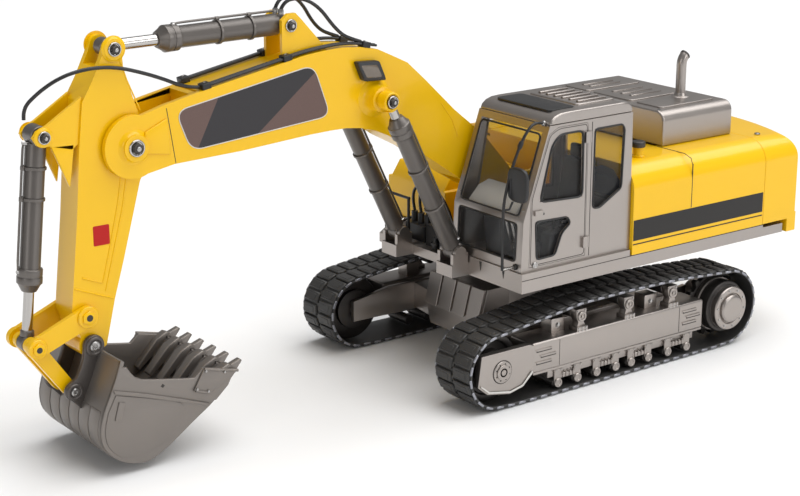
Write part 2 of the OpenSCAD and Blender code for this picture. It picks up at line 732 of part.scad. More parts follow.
// Rod with its eye at the origin, reaching back along -X into the barrel
module rod(len, r, eye_r, eye_half, hole_r) {
    difference() {
        union() {
            translate([-len, 0, 0]) rotate([0, 90, 0]) cylinder(r = r, h = len);
            bar([0, 0], eye_r, -eye_half, eye_half);
        }
        bar([0, 0], hole_r, -20, 20);
    }
}

module boom_barrel(side) {
    color([0.36, 0.35, 0.35]) translate([0, side * 33, 0]) aim(boom_cyl_base, boom_cyl_pin)
        barrel(116, 6.4, 3.4, 5.6, 5.6, 3);
}

module boom_rod(side) {
    reach = norm(boom_cyl_pin - boom_cyl_base);
    color([0.80, 0.80, 0.80]) translate([0, side * 33, 0]) aim(boom_cyl_base, boom_cyl_pin)
        translate([reach, 0, 0]) rod(reach - 12, 3.4, 6.6, 4.6, 5);
}

module arm_barrel() {
    color([0.36, 0.35, 0.35]) aim(arm_cyl_base, arm_cyl_pin) union() {
        barrel(94, 7.2, 3.8, 6, 6, 2.6);
        translate([4, 0, 9]) rotate([0, 90, 0]) cylinder(r = 1.2, h = 78, $fn = 16);
        for (x = [6, 84]) translate([x, 0, 6]) cylinder(r = 2.2, h = 5);
    }
}

module arm_rod() {
    reach = norm(arm_cyl_pin - arm_cyl_base);
    color([0.80, 0.80, 0.80]) aim(arm_cyl_base, arm_cyl_pin)
        translate([reach, 0, 0]) rod(reach - 40, 3.8, 5.6, 4.6, 3.6);
}

module bucket_barrel() {
    color([0.30, 0.29, 0.29]) aim(bucket_cyl_base, rocker_pin) union() {
        difference() {
            union() {
                barrel(98, 6.6, 3.4, 6.4, 6.4, 3);
                rotate([0, -90, 0]) cylinder(r = 6.6, h = 11);
            }
            bar([0, 0], 3 + run_fit, -20, 20);
        }
        for (x = [-4, 84]) translate([x, 0, 5.6]) cylinder(r = 1.8, h = 4);
        translate([-8, 0, 8.6]) rotate([0, 90, 0]) cylinder(r = 1.6, h = 5);
        translate([-4, 0, 8.6]) rotate([0, 90, 0]) cylinder(r = 1, h = 88, $fn = 16);
    }
}

module bucket_rod() {
    reach = norm(rocker_pin - bucket_cyl_base);
    color([0.80, 0.80, 0.80]) aim(bucket_cyl_base, rocker_pin)
        translate([reach, 0, 0]) rod(reach - 45, 3.4, 5.4, 4, 3.2);
}

module rocker_links() {
    in_y = arm_half + 0.5;
    out_y = 15.6;
    color([0.93, 0.72, 0.05]) difference() {
        for (side = [-1, 1]) on_side(side)
            link(rocker_pivot, rocker_pin, 7, rocker_eye_r, in_y, out_y);
        bar(rocker_pivot, 4, -30, 30);
        bar(rocker_pin, 3, -30, 30);
    }
}

module push_link() {
    color([0.93, 0.72, 0.05]) union() {
        for (side = [-1, 1]) on_side(side) {
            difference() {
                link(rocker_pin, bucket_link_pin, 5.2, 4.6, 5, 9.6);
                bar(bucket_link_pin, 2.6, 3, 12);
            }
            bar(rocker_pin, 3 - run_fit, 9, 16.4);
            bar(rocker_pin, 5, 15.8, 17.2);
        }
        difference() {
            plate([[409.5, 71], [402, 60.5], [397.6, 63.5], [405, 74]], -6, 6);
            bar(rocker_pin, 7, -20, 20);
        }
    }
}

module bucket() {
    ear_in = 12.2;
    ear_out = 16;
    color([0.50, 0.49, 0.48]) difference() {
        union() {
            difference() {
                plate(bucket_side, -bucket_half, bucket_half);
                plate(bucket_bowl, -bucket_half + 3, bucket_half - 3);
            }
            for (side = [-1, 1]) on_side(side) difference() {
                plate([[384, 88], [390, 84], [401, 56], [399, 50], [394, 46], [387, 41], [384, 40], [375, 60],
                    [370, 74], [372, 86], [378, 89]], ear_in, ear_out);
                plate(bucket_bowl, ear_in - 1, ear_out + 1);
            }
            for (side = [-1, 1]) on_side(side)
                plate([[318.5, 54], [314.5, 60], [293, 56], [304, 52], [315, 44.5], [326, 48]],
                    bucket_half, bucket_half + 1.6);
        }
        bar(bucket_pivot, 9.8, -ear_in, ear_in);
        for (side = [-1, 1]) on_side(side) bar(bucket_pivot, 5.8, ear_out, ear_out + 1.6);
        bar(bucket_pivot, 4, -30, 30);
        bar(bucket_link_pin, 3, -30, 30);
    }
}

module bucket_teeth() {
    pitch = (2 * bucket_half - 8) / (tooth_count - 1);
    color([0.56, 0.55, 0.53]) for (i = [0:tooth_count - 1])
        translate([0, -bucket_half + 4 + i * pitch, 0]) difference() {
            plate([[285.5, 57.5], [287, 59.5], [300, 53.5], [312, 42], [306.2, 34.4], [294.2, 44.6]],
                -tooth_y / 2, tooth_y / 2);
            plate([[307.46, 35.96], [290.96, 51.96], [292.96, 56], [293.4, 62], [316, 62], [316, 30]], -10, 10);
        }
}

module bucket_pins() {
    color([0.30, 0.30, 0.30]) union() {
        bar(bucket_pivot, 4 - run_fit, -16, 16);
        for (side = [-1, 1]) on_side(side) {
            bar(bucket_pivot, 5.6, 16, 17.4);
            bar(bucket_link_pin, 3 - run_fit, 10, 16);
            bar(bucket_link_pin, 5, 16, 17.4);
        }
    }
}

part_at_origin() chassis_frame();
part_at_origin() chassis_cover();
part_at_origin() slew_ring();
part_at_origin() track_frame(1);  // track_frame_left
part_at_origin() track_frame(-1);  // track_frame_right
part_at_origin() idler_guard(1);  // idler_guard_left
part_at_origin() idler_guard(-1);  // idler_guard_right
part_at_origin() track_belt(1);  // track_belt_left
part_at_origin() track_belt(-1);  // track_belt_right
part_at_origin() track_rollers(1);  // track_rollers_left
part_at_origin() track_rollers(-1);  // track_rollers_right
part_at_origin() sprocket(1);  // sprocket_left
part_at_origin() sprocket(-1);  // sprocket_right
part_at_origin() idler(1);  // idler_left
part_at_origin() idler(-1);  // idler_right
part_at_origin() platform();
part_at_origin() slew_bearing();
part_at_origin() slew_motor();
part_at_origin() boom_tower();
part_at_origin() cab_frame();
part_at_origin() cab_roof();
part_at_origin() cab_glass();
part_at_origin() cab_seat();
part_at_origin() cab_controls();
part_at_origin() cab_door();
part_at_origin() door_glass();
part_at_origin() cab_mirror();
part_at_origin() side_panel(1);  // side_panel_left
part_at_origin() side_panel(-1);  // side_panel_right
part_at_origin() tank_right();
part_at_origin() counterweight();
part_at_origin() deck_cover();
part_at_origin() engine_hood();
part_at_origin() exhaust_pipe();
part_at_origin() hand_rails();
part_at_origin() battery_pack();
part_at_origin() control_unit();
part_at_origin() valve_block();
part_at_origin() bay_hoses();
part_at_origin() body_screws();
part_at_origin() boom();
part_at_origin() boom_pipes();
part_at_origin() work_lamp();
part_at_origin() boom_pins();
part_at_origin() arm();
part_at_origin() arm_pins();
part_at_origin() arm_hose();
part_at_origin() boom_barrel(1);  // boom_barrel_left
part_at_origin() boom_barrel(-1);  // boom_barrel_right
part_at_origin() boom_rod(1);  // boom_rod_left
part_at_origin() boom_rod(-1);  // boom_rod_right
part_at_origin() arm_barrel();
part_at_origin() arm_rod();
part_at_origin() bucket_barrel();
part_at_origin() bucket_rod();
part_at_origin() rocker_links();
part_at_origin() push_link();
part_at_origin() bucket();
part_at_origin() bucket_teeth();
part_at_origin() bucket_pins();
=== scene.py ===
"""Looks for the toy crawler excavator, laid out as an add-on: one operator for each group of pieces."""

import json
import math

import bpy
from mathutils import Matrix, Vector


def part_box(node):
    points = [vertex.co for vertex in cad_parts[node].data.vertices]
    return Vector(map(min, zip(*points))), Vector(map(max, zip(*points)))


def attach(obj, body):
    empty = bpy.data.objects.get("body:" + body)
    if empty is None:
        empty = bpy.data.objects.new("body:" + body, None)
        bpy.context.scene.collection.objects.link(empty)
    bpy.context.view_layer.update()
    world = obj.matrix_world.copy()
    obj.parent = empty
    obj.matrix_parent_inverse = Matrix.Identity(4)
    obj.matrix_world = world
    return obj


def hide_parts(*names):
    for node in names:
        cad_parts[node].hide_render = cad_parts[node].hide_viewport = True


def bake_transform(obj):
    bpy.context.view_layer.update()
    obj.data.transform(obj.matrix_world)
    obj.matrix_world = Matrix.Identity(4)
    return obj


bl_info = {
    "name": "Toy Excavator Finish",
    "version": (1, 0, 0),
    "blender": (4, 5, 0),
    "location": "View3D > Sidebar > Excavator",
    "description": "Builds the visible pieces and finishes of a toy crawler excavator",
    "category": "Object",
}

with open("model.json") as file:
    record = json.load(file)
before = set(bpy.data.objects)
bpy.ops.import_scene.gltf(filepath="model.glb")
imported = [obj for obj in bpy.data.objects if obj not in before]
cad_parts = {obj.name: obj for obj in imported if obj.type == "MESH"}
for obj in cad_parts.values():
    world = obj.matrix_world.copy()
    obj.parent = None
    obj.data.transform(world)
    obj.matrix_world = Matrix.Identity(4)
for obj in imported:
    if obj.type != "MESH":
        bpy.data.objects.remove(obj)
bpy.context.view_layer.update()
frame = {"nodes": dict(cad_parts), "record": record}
MM = 0.001
JOINTS = {joint["name"]: joint for joint in frame["record"]["behaviour"]["joints"]}
# Every length below is in millimetres, with x = 0 on the slewing axis
SLEW_X = JOINTS["slew"]["pos_m"][0]
ACROSS = Vector((0, 1, 0))
UP = Vector((0, 0, 1))
AHEAD = Vector((1, 0, 0))


def at(x, y, z):
    """Place in the row frame, in metres, of a point in millimetres about the slewing axis."""
    return Vector((x * MM + SLEW_X, y * MM, z * MM))


def pivot(joint):
    """x and z of a joint's axis, in millimetres about the slewing axis."""
    place = JOINTS[joint]["pos_m"]
    return ((place[0] - SLEW_X) / MM, place[2] / MM)


def reach(node):
    """A node's lowest and highest corner, in millimetres about the slewing axis."""
    low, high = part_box(node)
    return [((p[0] - SLEW_X) / MM, p[1] / MM, p[2] / MM) for p in (low, high)]


BOOM_FOOT = pivot("boom_lift")
ARM_PIVOT = pivot("arm_swing")
LIFT_BASE = pivot("lift_barrel_left_pivot")
SWING_BASE = pivot("swing_barrel_pivot")
CURL_BASE = pivot("curl_barrel_pivot")
ROCKER_PIVOT = pivot("rocker_pivot")
ROCKER_PIN = pivot("link_pivot")
BUCKET_PIVOT = pivot("bucket_curl")
IDLER = pivot("idle_left_spin")
SPROCKET = pivot("drive_left_spin")
LIFT_PIN = (158, 214)
SWING_PIN = (353.5, 267.5)
LINK_PIN = (394, 52.5)
LIFT_Y = 33
HOUSE_SIDE = reach("side_panel_left")[1][1]
PANEL_TOP = 156
CAB_IN, CAB_OUT = reach("cab_frame")[0][1], reach("cab_frame")[1][1]
TRACK_IN, TRACK_OUT = reach("track_belt_left")[0][1], reach("track_belt_left")[1][1]
SILL_X = 93.5
BOOM_HALF = 16.5
ARM_HALF = reach("arm")[1][1]
BUCKET_HALF = 44
SIDES = (("left", 1), ("right", -1))

GREY, YELLOW, GUNMETAL = "warm_grey_paint", "yellow_paint", "gunmetal"
CHROME, PIN, DARK = "chrome_rod", "steel_pin", "dark_steel"
BLACK, SHADOW, TRIM, PALE = "black_plastic", "seam_shadow", "dark_trim", "pale_trim"
RUBBER, LINK, HOSE, BUCKET = "track_rubber", "track_link", "hose_rubber", "bucket_grey"


# ---------------------------------------------------------------- modelling helpers

# Angles between faces, in degrees, and a distance in metres
BEVEL_ANGLE, SKIN_BEVEL_ANGLE, SMOOTH_ANGLE, FLAT_ANGLE = 32, 38, 42, 0.6
WELD = 2e-6

def clear_selection():
    if bpy.context.object and bpy.context.object.mode != "OBJECT":
        bpy.ops.object.mode_set(mode="OBJECT")
    bpy.ops.object.select_all(action="DESELECT")


def pick(*pieces):
    clear_selection()
    for piece in pieces:
        piece.select_set(True)
    bpy.context.view_layer.objects.active = pieces[0]


def settle(piece):
    pick(piece)
    bpy.ops.object.transform_apply(location=True, rotation=True, scale=True)
    return piece


def mend(piece, merge=0.0):
    """Merges doubles and turns every face outwards."""
    pick(piece)
    bpy.ops.object.mode_set(mode="EDIT")
    bpy.ops.mesh.select_all(action="SELECT")
    if merge:
        bpy.ops.mesh.remove_doubles(threshold=merge)
    bpy.ops.mesh.normals_make_consistent(inside=False)
    bpy.ops.object.mode_set(mode="OBJECT")
    return piece


def ease_edges(piece, width, steps=2, angle=BEVEL_ANGLE):
    """Rounds the edges sharper than angle and shades the faces smoothly across them."""
    pick(piece)
    if width:
        bevel = piece.modifiers.new("edges", "BEVEL")
        bevel.width = width * MM
        bevel.segments = steps
        bevel.limit_method = "ANGLE"
        bevel.angle_limit = math.radians(angle)
        bpy.ops.object.modifier_apply(modifier=bevel.name)
    bpy.ops.object.shade_smooth_by_angle(angle=math.radians(SMOOTH_ANGLE))
    return piece


def even_normals(piece):
    """Keeps large flat faces flat beside rounded edges."""
    pick(piece)
    weights = piece.modifiers.new("normals", "WEIGHTED_NORMAL")
    weights.keep_sharp = True
    bpy.ops.object.modifier_apply(modifier=weights.name)
    return piece


def box(low, high, ease=0.3, steps=2):
    middle = [(a + b) / 2 for a, b in zip(low, high)]
    size = [(b - a) * MM for a, b in zip(low, high)]
    clear_selection()
    bpy.ops.mesh.primitive_cube_add(size=1, location=at(*middle), scale=size)
    return ease_edges(settle(bpy.context.object), ease, steps)


def prism(points, travel, ease=0.3, steps=2, angle=BEVEL_ANGLE):
    """A flat outline of row-frame points, extruded by travel."""
    clear_selection()
    bpy.ops.mesh.primitive_circle_add(vertices=len(points), radius=MM, fill_type="NGON")
    piece = bpy.context.object
    for vertex, point in zip(piece.data.vertices, points):
        vertex.co = point
    bpy.ops.object.mode_set(mode="EDIT")
    bpy.ops.mesh.select_all(action="SELECT")
    bpy.ops.mesh.extrude_region_move(TRANSFORM_OT_translate={"value": travel})
    mend(piece)
    return ease_edges(piece, ease, steps, angle)


def plate(outline, y0, y1, ease=0.3, steps=2, angle=BEVEL_ANGLE):
    """Outline of (x, z) made solid from y0 to y1."""
    return prism([at(x, y0, z) for x, z in outline], ACROSS * (y1 - y0) * MM, ease, steps, angle)


def slab(outline, z0, z1, ease=0.3, steps=2):
    """Outline of (x, y) made solid from z0 to z1."""
    return prism([at(x, y, z0) for x, y in outline], UP * (z1 - z0) * MM, ease, steps)


def wall(outline, x0, x1, ease=0.3, steps=2, angle=BEVEL_ANGLE):
    """Outline of (y, z) made solid from x0 to x1."""
    return prism([at(x0, y, z) for y, z in outline], AHEAD * (x1 - x0) * MM, ease, steps, angle)


def turned(start, along, profile, sides=36, ease=0.0):
    """A disc extruded and scaled through each (distance, radius) step along an axis."""
    first_distance, last_radius = profile[0]
    clear_selection()
    bpy.ops.mesh.primitive_circle_add(vertices=sides, radius=last_radius * MM, fill_type="NGON")
    piece = bpy.context.object
    last_distance = first_distance
    bpy.ops.object.mode_set(mode="EDIT")
    for distance, radius in profile[1:]:
        step = Vector((0, 0, (distance - last_distance) * MM))
        bpy.ops.mesh.extrude_region_move(TRANSFORM_OT_translate={"value": step})
        factor = radius / last_radius
        centre = (0, 0, (distance - first_distance) * MM)
        bpy.ops.transform.resize(value=(factor, factor, 1), center_override=centre)
        last_distance, last_radius = distance, radius
    bpy.ops.object.mode_set(mode="OBJECT")
    direction = Vector(along).normalized()
    turn = direction.to_track_quat("Z", "Y").to_matrix().to_4x4()
    piece.data.transform(Matrix.Translation(Vector(start) + direction * first_distance * MM) @ turn)
    return ease_edges(mend(piece), ease)


def bar(at_xz, radius, y0, y1, sides=32, ease=0.3):
    """Round bar across the machine about (x, z)."""
    length = y1 - y0
    profile = [(0, radius - ease), (ease, radius), (length - ease, radius), (length, radius - ease)]
    return turned(at(at_xz[0], y0, at_xz[1]), ACROSS, profile, sides)


def link_outline(a, b, radius_a, radius_b, steps=12):
    """Outline of a bar with round ends between two (x, z) points."""
    angle = math.atan2(b[1] - a[1], b[0] - a[0])
    half = math.pi / 2
    ends = []
    for centre, radius, start in ((a, radius_a, angle + half), (b, radius_b, angle - half)):
        for i in range(steps + 1):
            turn = start + math.pi * i / steps
            ends.append((centre[0] + radius * math.cos(turn), centre[1] + radius * math.sin(turn)))
    return ends


def arc(centre, radius, start, end, steps=12):
    turns = [math.radians(start + (end - start) * i / steps) for i in range(steps + 1)]
    return [(centre[0] + radius * math.cos(t), centre[1] + radius * math.sin(t)) for t in turns]


def rounded(corners, radius, steps=5):
    """A closed outline with each corner rounded."""
    outline = []
    count = len(corners)
    for i in range(count):
        corner = Vector(corners[i])
        before = (Vector(corners[i - 1]) - corner).normalized()
        after = (Vector(corners[(i + 1) % count]) - corner).normalized()
        room = min((Vector(corners[i - 1]) - corner).length,
                   (Vector(corners[(i + 1) % count]) - corner).length)
        back = min(radius, room * 0.45)
        first, last = corner + before * back, corner + after * back
        for k in range(steps + 1):
            t = k / steps
            outline.append(tuple((1 - t) ** 2 * first + 2 * t * (1 - t) * corner + t * t * last))
    return outline


def tube(points, radius, closed=False, smooth=False, sides=3):
    """A round line through row-frame points, made a mesh."""
    line = bpy.data.curves.new("tube", "CURVE")
    line.dimensions = "3D"
    line.bevel_depth = radius * MM
    line.bevel_resolution = sides
    line.use_fill_caps = True
    spline = line.splines.new("NURBS" if smooth else "POLY")
    spline.points.add(len(points) - 1)
    for knot, point in zip(spline.points, points):
        knot.co = (*point, 1)
    spline.use_cyclic_u = closed
    if smooth:
        spline.order_u = 3
        spline.use_endpoint_u = True
        spline.resolution_u = 4
    piece = bpy.data.objects.new("tube", line)
    bpy.context.collection.objects.link(piece)
    pick(piece)
    bpy.ops.object.convert(target="MESH")
    piece = bpy.context.object
    return ease_edges(mend(piece, 1e-6), 0)


def bead(outline, y, radius, closed=True):
    """A fine round line along (x, z) points on the plane at y."""
    return tube([at(x, y, z) for x, z in outline], radius, closed)


def cut(piece, *tools):
    for tool in tools:
        pick(piece)
        hole = piece.modifiers.new("hole", "BOOLEAN")
        hole.operation = "DIFFERENCE"
        hole.solver = "EXACT"
        hole.object = tool
        bpy.ops.object.modifier_apply(modifier=hole.name)
        bpy.data.objects.remove(tool, do_unlink=True)
    return piece


def copied(piece, matrix=None):
    twin = piece.copy()
    twin.data = piece.data.copy()
    bpy.context.collection.objects.link(twin)
    if matrix is not None:
        twin.data.transform(matrix)
    return twin


def mirrored(piece):
    """The same piece on the machine's other side."""
    return mend(copied(piece, Matrix.Scale(-1, 4, ACROSS)))


def joined(*parts):
    parts = [part for part in parts if part]
    if len(parts) == 1:
        return parts[0]
    pick(*parts)
    bpy.ops.object.join()
    return bpy.context.object


def painted(piece, finish):
    piece.data.materials.clear()
    piece.data.materials.append(FINISHES[finish])
    return piece


class Pieces(list):
    """Finished pieces that will be joined into one."""

    def add(self, finish, *pieces):
        """Paints the pieces and keeps them."""
        self.extend(painted(piece, finish) for piece in pieces)
        return self


def round_places(centre, radius, count, first=0.0):
    """Evenly spaced (a, b) places on a circle, starting at an angle in degrees."""
    turns = [math.radians(first + 360 * i / count) for i in range(count)]
    return [(centre[0] + radius * math.cos(turn), centre[1] + radius * math.sin(turn)) for turn in turns]


def skin(node, ease=0.5, steps=2, finish=None):
    """A copy of a node's shape with merged faces and eased edges."""
    source = frame["nodes"][node]
    piece = bpy.data.objects.new(node + "_skin", source.data.copy())
    bpy.context.collection.objects.link(piece)
    pick(piece)
    bpy.ops.object.mode_set(mode="EDIT")
    bpy.ops.mesh.select_all(action="SELECT")
    bpy.ops.mesh.remove_doubles(threshold=WELD)
    bpy.ops.mesh.dissolve_limited(angle_limit=math.radians(FLAT_ANGLE))
    bpy.ops.object.mode_set(mode="OBJECT")
    even_normals(ease_edges(piece, ease, steps, SKIN_BEVEL_ANGLE))
    return painted(piece, finish or NODE_FINISH[node])


def name_piece(piece, name):
    piece.name = name
    piece.data.name = name


def fit(piece, body, node, name=None):
    """Names a finished piece, sets it on its body and hides the node it stands for."""
    name_piece(piece, name or f"{node}_piece")
    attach(piece, body)
    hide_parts(node)


def fit_skins(body, *rows):
    """Keeps the shape of each node, given with its edge rounding, and sets it on its body."""
    for node, *rounding in rows:
        fit(skin(node, *rounding), body, node)


def hex_bolt(place, along, radius=1.3, height=1.2):
    """A six-sided bolt head on a washer."""
    washer = turned(place, along, [(0, radius * 1.25), (height * 0.25, radius * 1.25)], 16)
    head = turned(place, along, [(height * 0.2, radius), (height * 0.85, radius), (height, radius * 0.8)], 6)
    return joined(head, washer)


def hex_nut(place, along, radius, height, finish):
    """A six-sided nut with a dark hole."""
    nut = turned(place, along, [(0, radius), (height * 0.8, radius), (height, radius * 0.86)], 6)
    hole = turned(place, along, [(height * 0.7, radius * 0.5), (height + 0.15, radius * 0.46)], 20)
    return Pieces().add(finish, nut).add(SHADOW, hole)


def band(start, along, inner, outer, length):
    """A ring round a tube, open inside."""
    edge = 0.15
    profile = [(0, outer - edge), (edge, outer), (length - edge, outer), (length, outer - edge)]
    return cut(turned(start, along, profile, 40), turned(start, along, [(-1, inner), (length + 1, inner)],
                                                         40))


def cap_screw(place, along, radius=3.2, height=1.6):
    """A socket pin head: a chamfered disc with a six-sided recess."""
    head = turned(place, along, [(0, radius), (height * 0.7, radius), (height, radius * 0.85),
                                 (height, radius * 0.55)], 28)
    socket = turned(place, along, [(height * 0.45, radius * 0.5), (height * 1.6, radius * 0.5)], 6)
    return cut(head, socket)


# ---------------------------------------------------------------- finishes


def srgb(red, green, blue):
    """A screen colour from 0 to 255 as the linear values that a shader takes."""
    return tuple(((c / 255 + 0.055) / 1.055) ** 2.4 if c > 10 else c / 255 / 12.92
                 for c in (red, green, blue))


class Wire:
    """A shader socket that can stand in sums and products."""

    def __init__(self, tree, socket):
        self.tree = tree
        self.socket = socket

    def sum(self, operation, first, second):
        node = self.tree.nodes.new("ShaderNodeMath")
        node.operation = operation
        for slot, value in zip(node.inputs, (first, second)):
            if isinstance(value, Wire):
                self.tree.links.new(value.socket, slot)
            else:
                slot.default_value = value
        return Wire(self.tree, node.outputs[0])

    def __add__(self, other):
        return self.sum("ADD", self, other)

    def __radd__(self, other):
        return self.sum("ADD", other, self)

    def __sub__(self, other):
        return self.sum("SUBTRACT", self, other)

    def __rsub__(self, other):
        return self.sum("SUBTRACT", other, self)

    def __mul__(self, other):
        return self.sum("MULTIPLY", self, other)

    def __rmul__(self, other):
        return self.sum("MULTIPLY", other, self)

    def above(self, level):
        return self.sum("GREATER_THAN", self, level)


class Finish:
    """A procedural material with its shader at hand."""

    def __init__(self, name, **constants):
        self.material = bpy.data.materials.new(name)
        self.material.use_nodes = True
        self.tree = self.material.node_tree
        self.tree.nodes.clear()
        self.shader = self.tree.nodes.new("ShaderNodeBsdfPrincipled")
        output = self.tree.nodes.new("ShaderNodeOutputMaterial")
        self.tree.links.new(self.shader.outputs[0], output.inputs[0])
        self.place = self.node("ShaderNodeTexCoord", "Object")
        for socket, value in constants.items():
            self.set(socket.replace("_", " "), value)

    def node(self, kind, output=0, settings=None, **values):
        node = self.tree.nodes.new(kind)
        for key, value in (settings or {}).items():
            setattr(node, key, value)
        for key, value in values.items():
            self.feed(node.inputs[key.replace("_", " ")], value)
        return Wire(self.tree, node.outputs[output])

    def feed(self, slot, value):
        if isinstance(value, Wire):
            self.tree.links.new(value.socket, slot)
        elif slot.type == "RGBA":
            slot.default_value = (*value[:3], 1)
        else:
            slot.default_value = value

    def set(self, socket, value):
        self.feed(self.shader.inputs[socket], value)

    def noise(self, scale, detail=3.0):
        return self.node("ShaderNodeTexNoise", 0, Vector=self.place, Scale=scale, Detail=detail)

    def mix(self, factor, low, high):
        node = self.tree.nodes.new("ShaderNodeMix")
        node.data_type = "RGBA"
        for slot, value in ((node.inputs[0], factor), (node.inputs[6], low), (node.inputs[7], high)):
            self.feed(slot, value)
        return Wire(self.tree, node.outputs[2])

    def axis(self, letter):
        return self.node("ShaderNodeSeparateXYZ", letter, Vector=self.place)

    def bump(self, height, strength, distance=0.0002):
        normal = self.node("ShaderNodeBump", 0, Height=height, Strength=strength, Distance=distance)
        self.set("Normal", normal)


def shades(colour, low, high):
    return tuple(c * low for c in colour), tuple(min(1, c * high) for c in colour)


def paint(name, colour, roughness, spread=0.06, grain=2600, bump=0.04, patch=55, **constants):
    """A coat whose colour drifts a little over the surface, with a fine grain in gloss and relief."""
    finish = Finish(name, **constants)
    low, high = shades(colour, 1 - spread, 1 + spread)
    drift = finish.noise(patch, 4)
    fine = finish.noise(grain, 2)
    finish.set("Base Color", finish.mix(drift * 0.7 + fine * 0.3, low, high))
    finish.set("Roughness", roughness - 0.05 + drift * 0.06 + fine * 0.05)
    finish.bump(fine, bump)
    return finish.material


def film(name, colour, spread):
    """Printed film, less shiny than paint."""
    return paint(name, colour, 0.4, spread, 1200, 0.02, 60, Specular_IOR_Level=0.3)


def metallic_grey(look):
    return paint("warm_grey_paint", look.grey, 0.34, 0.06, 4200, 0.05, 40, Metallic=0.95, Coat_Weight=0.08,
                 Coat_Roughness=0.25)


def yellow_gloss(look):
    finish = Finish("yellow_paint", Coat_Weight=0.3, Coat_Roughness=0.08, Specular_IOR_Level=0.3)
    low, high = shades(look.yellow, 0.95, 1.03)
    drift = finish.noise(25, 3)
    peel = finish.noise(900, 1)
    finish.set("Base Color", finish.mix(drift, low, high))
    finish.set("Roughness", 0.26 + peel * 0.08)
    finish.bump(peel, 0.03, 0.0001)
    return finish.material


def brushed(name, colour, roughness, stretch):
    """Metal with fine lines worn along one direction."""
    finish = Finish(name, Metallic=1.0)
    lines = finish.node("ShaderNodeMapping", 0, Vector=finish.place, Scale=stretch)
    streak = finish.node("ShaderNodeTexNoise", 0, Vector=lines, Scale=900.0, Detail=2.0)
    low, high = shades(colour, 0.85, 1.1)
    finish.set("Base Color", finish.mix(streak, low, high))
    finish.set("Roughness", roughness + streak * 0.12)
    return finish.material


def smoked_glass():
    finish = Finish("smoked_glass", Roughness=0.03, IOR=1.45, Coat_Weight=0.5, Coat_Roughness=0.02)
    haze = finish.noise(35, 2)
    finish.set("Base Color", finish.mix(haze, (0.05, 0.05, 0.05), (0.08, 0.08, 0.08)))
    finish.set("Alpha", 0.13 + haze * 0.05)
    return finish.material


def boom_decal():
    """A smoked panel in two tones that meet along slanted lines."""
    finish = Finish("boom_decal", Coat_Weight=0.15, Coat_Roughness=0.15, Specular_IOR_Level=0.3)
    along = finish.axis("X") - SLEW_X
    height = finish.axis("Z")
    front_slope, front_edge = 0.52, 0.4014
    rear_slope, rear_edge = 1.29, 0.5126
    before_front = 1 - (along + height * front_slope).above(front_edge)
    dark = before_front * (along + height * rear_slope).above(rear_edge)
    grain = finish.noise(1500, 2)
    mauve = finish.mix(grain, srgb(92, 72, 67), srgb(104, 82, 76))
    finish.set("Base Color", finish.mix(dark, mauve, srgb(44, 42, 45)))
    finish.set("Roughness", 0.34 + grain * 0.08)
    return finish.material


def make_finishes(look):
    grey_lines = (1, 1, 12)
    return {
        "warm_grey_paint": metallic_grey(look),
        "yellow_paint": yellow_gloss(look),
        "gunmetal": paint("gunmetal", look.gunmetal, 0.36, 0.08, 3000, 0.05, 60, Metallic=0.6,
                          Coat_Weight=0.15, Coat_Roughness=0.3),
        "chrome_rod": paint("chrome_rod", srgb(178, 175, 172), 0.16, 0.03, 1500, 0.0, 60, Metallic=1.0),
        "steel_pin": brushed("steel_pin", (0.42, 0.41, 0.40), 0.22, grey_lines),
        "dark_steel": paint("dark_steel", srgb(70, 67, 65), 0.42, 0.12, 1800, 0.10, 90, Metallic=0.7),
        "track_rubber": paint("track_rubber", srgb(50, 49, 48), 0.48, 0.22, 1500, 0.2, 110),
        "track_link": paint("track_link", srgb(150, 151, 158), 0.34, 0.10, 1500, 0.1, 90, Metallic=0.7),
        "hose_rubber": paint("hose_rubber", srgb(26, 26, 27), 0.36, 0.35, 1100, 0.5, 600),
        "black_plastic": paint("black_plastic", srgb(26, 26, 27), 0.42, 0.15, 2200, 0.08, 90),
        "dark_trim": paint("dark_trim", srgb(46, 47, 50), 0.5, 0.15, 1600, 0.12, 80),
        "seam_shadow": paint("seam_shadow", srgb(52, 48, 45), 0.6, 0.15, 1500, 0.05, 80),
        "bucket_grey": paint("bucket_grey", srgb(128, 122, 117), 0.4, 0.08, 2600, 0.08, 45, Metallic=0.7),
        "ear_grey": paint("ear_grey", srgb(92, 87, 84), 0.4, 0.08, 2600, 0.08, 45, Metallic=0.6),
        "pale_trim": paint("pale_trim", srgb(205, 203, 198), 0.45, 0.04, 1500, 0.06, 60),
        "stripe_film": film("stripe_film", srgb(38, 36, 35), 0.08),
        "red_label": film("red_label", srgb(178, 12, 8), 0.06),
        "smoked_glass": smoked_glass(),
        "boom_decal": boom_decal(),
        "lamp_lens": paint("lamp_lens", srgb(96, 84, 70), 0.12, 0.2, 700, 0.2, 300, Coat_Weight=1.0),
        "battery_wrap": paint("battery_wrap", (0.05, 0.08, 0.22), 0.3),
        "circuit_board": paint("circuit_board", (0.03, 0.16, 0.08), 0.35),
    }


FINISHES = {}
NODE_FINISH = {part["node"]: part["material_slot"] for part in frame["record"]["subparts"]}


class ExcavatorLook(bpy.types.PropertyGroup):
    """Colours of the painted pieces"""

    grey: bpy.props.FloatVectorProperty(
        name="Body grey", description="Satin metallic grey of the cab, platform and track frames",
        subtype="COLOR", size=3, default=srgb(164, 157, 152), min=0, max=1)
    yellow: bpy.props.FloatVectorProperty(
        name="Yellow", description="Gloss yellow of the boom, arm and side panels",
        subtype="COLOR", size=3, default=srgb(238, 187, 0), min=0, max=1)
    gunmetal: bpy.props.FloatVectorProperty(
        name="Cylinder grey", description="Dark satin grey of the cylinder barrels",
        subtype="COLOR", size=3, default=srgb(104, 99, 95), min=0, max=1)


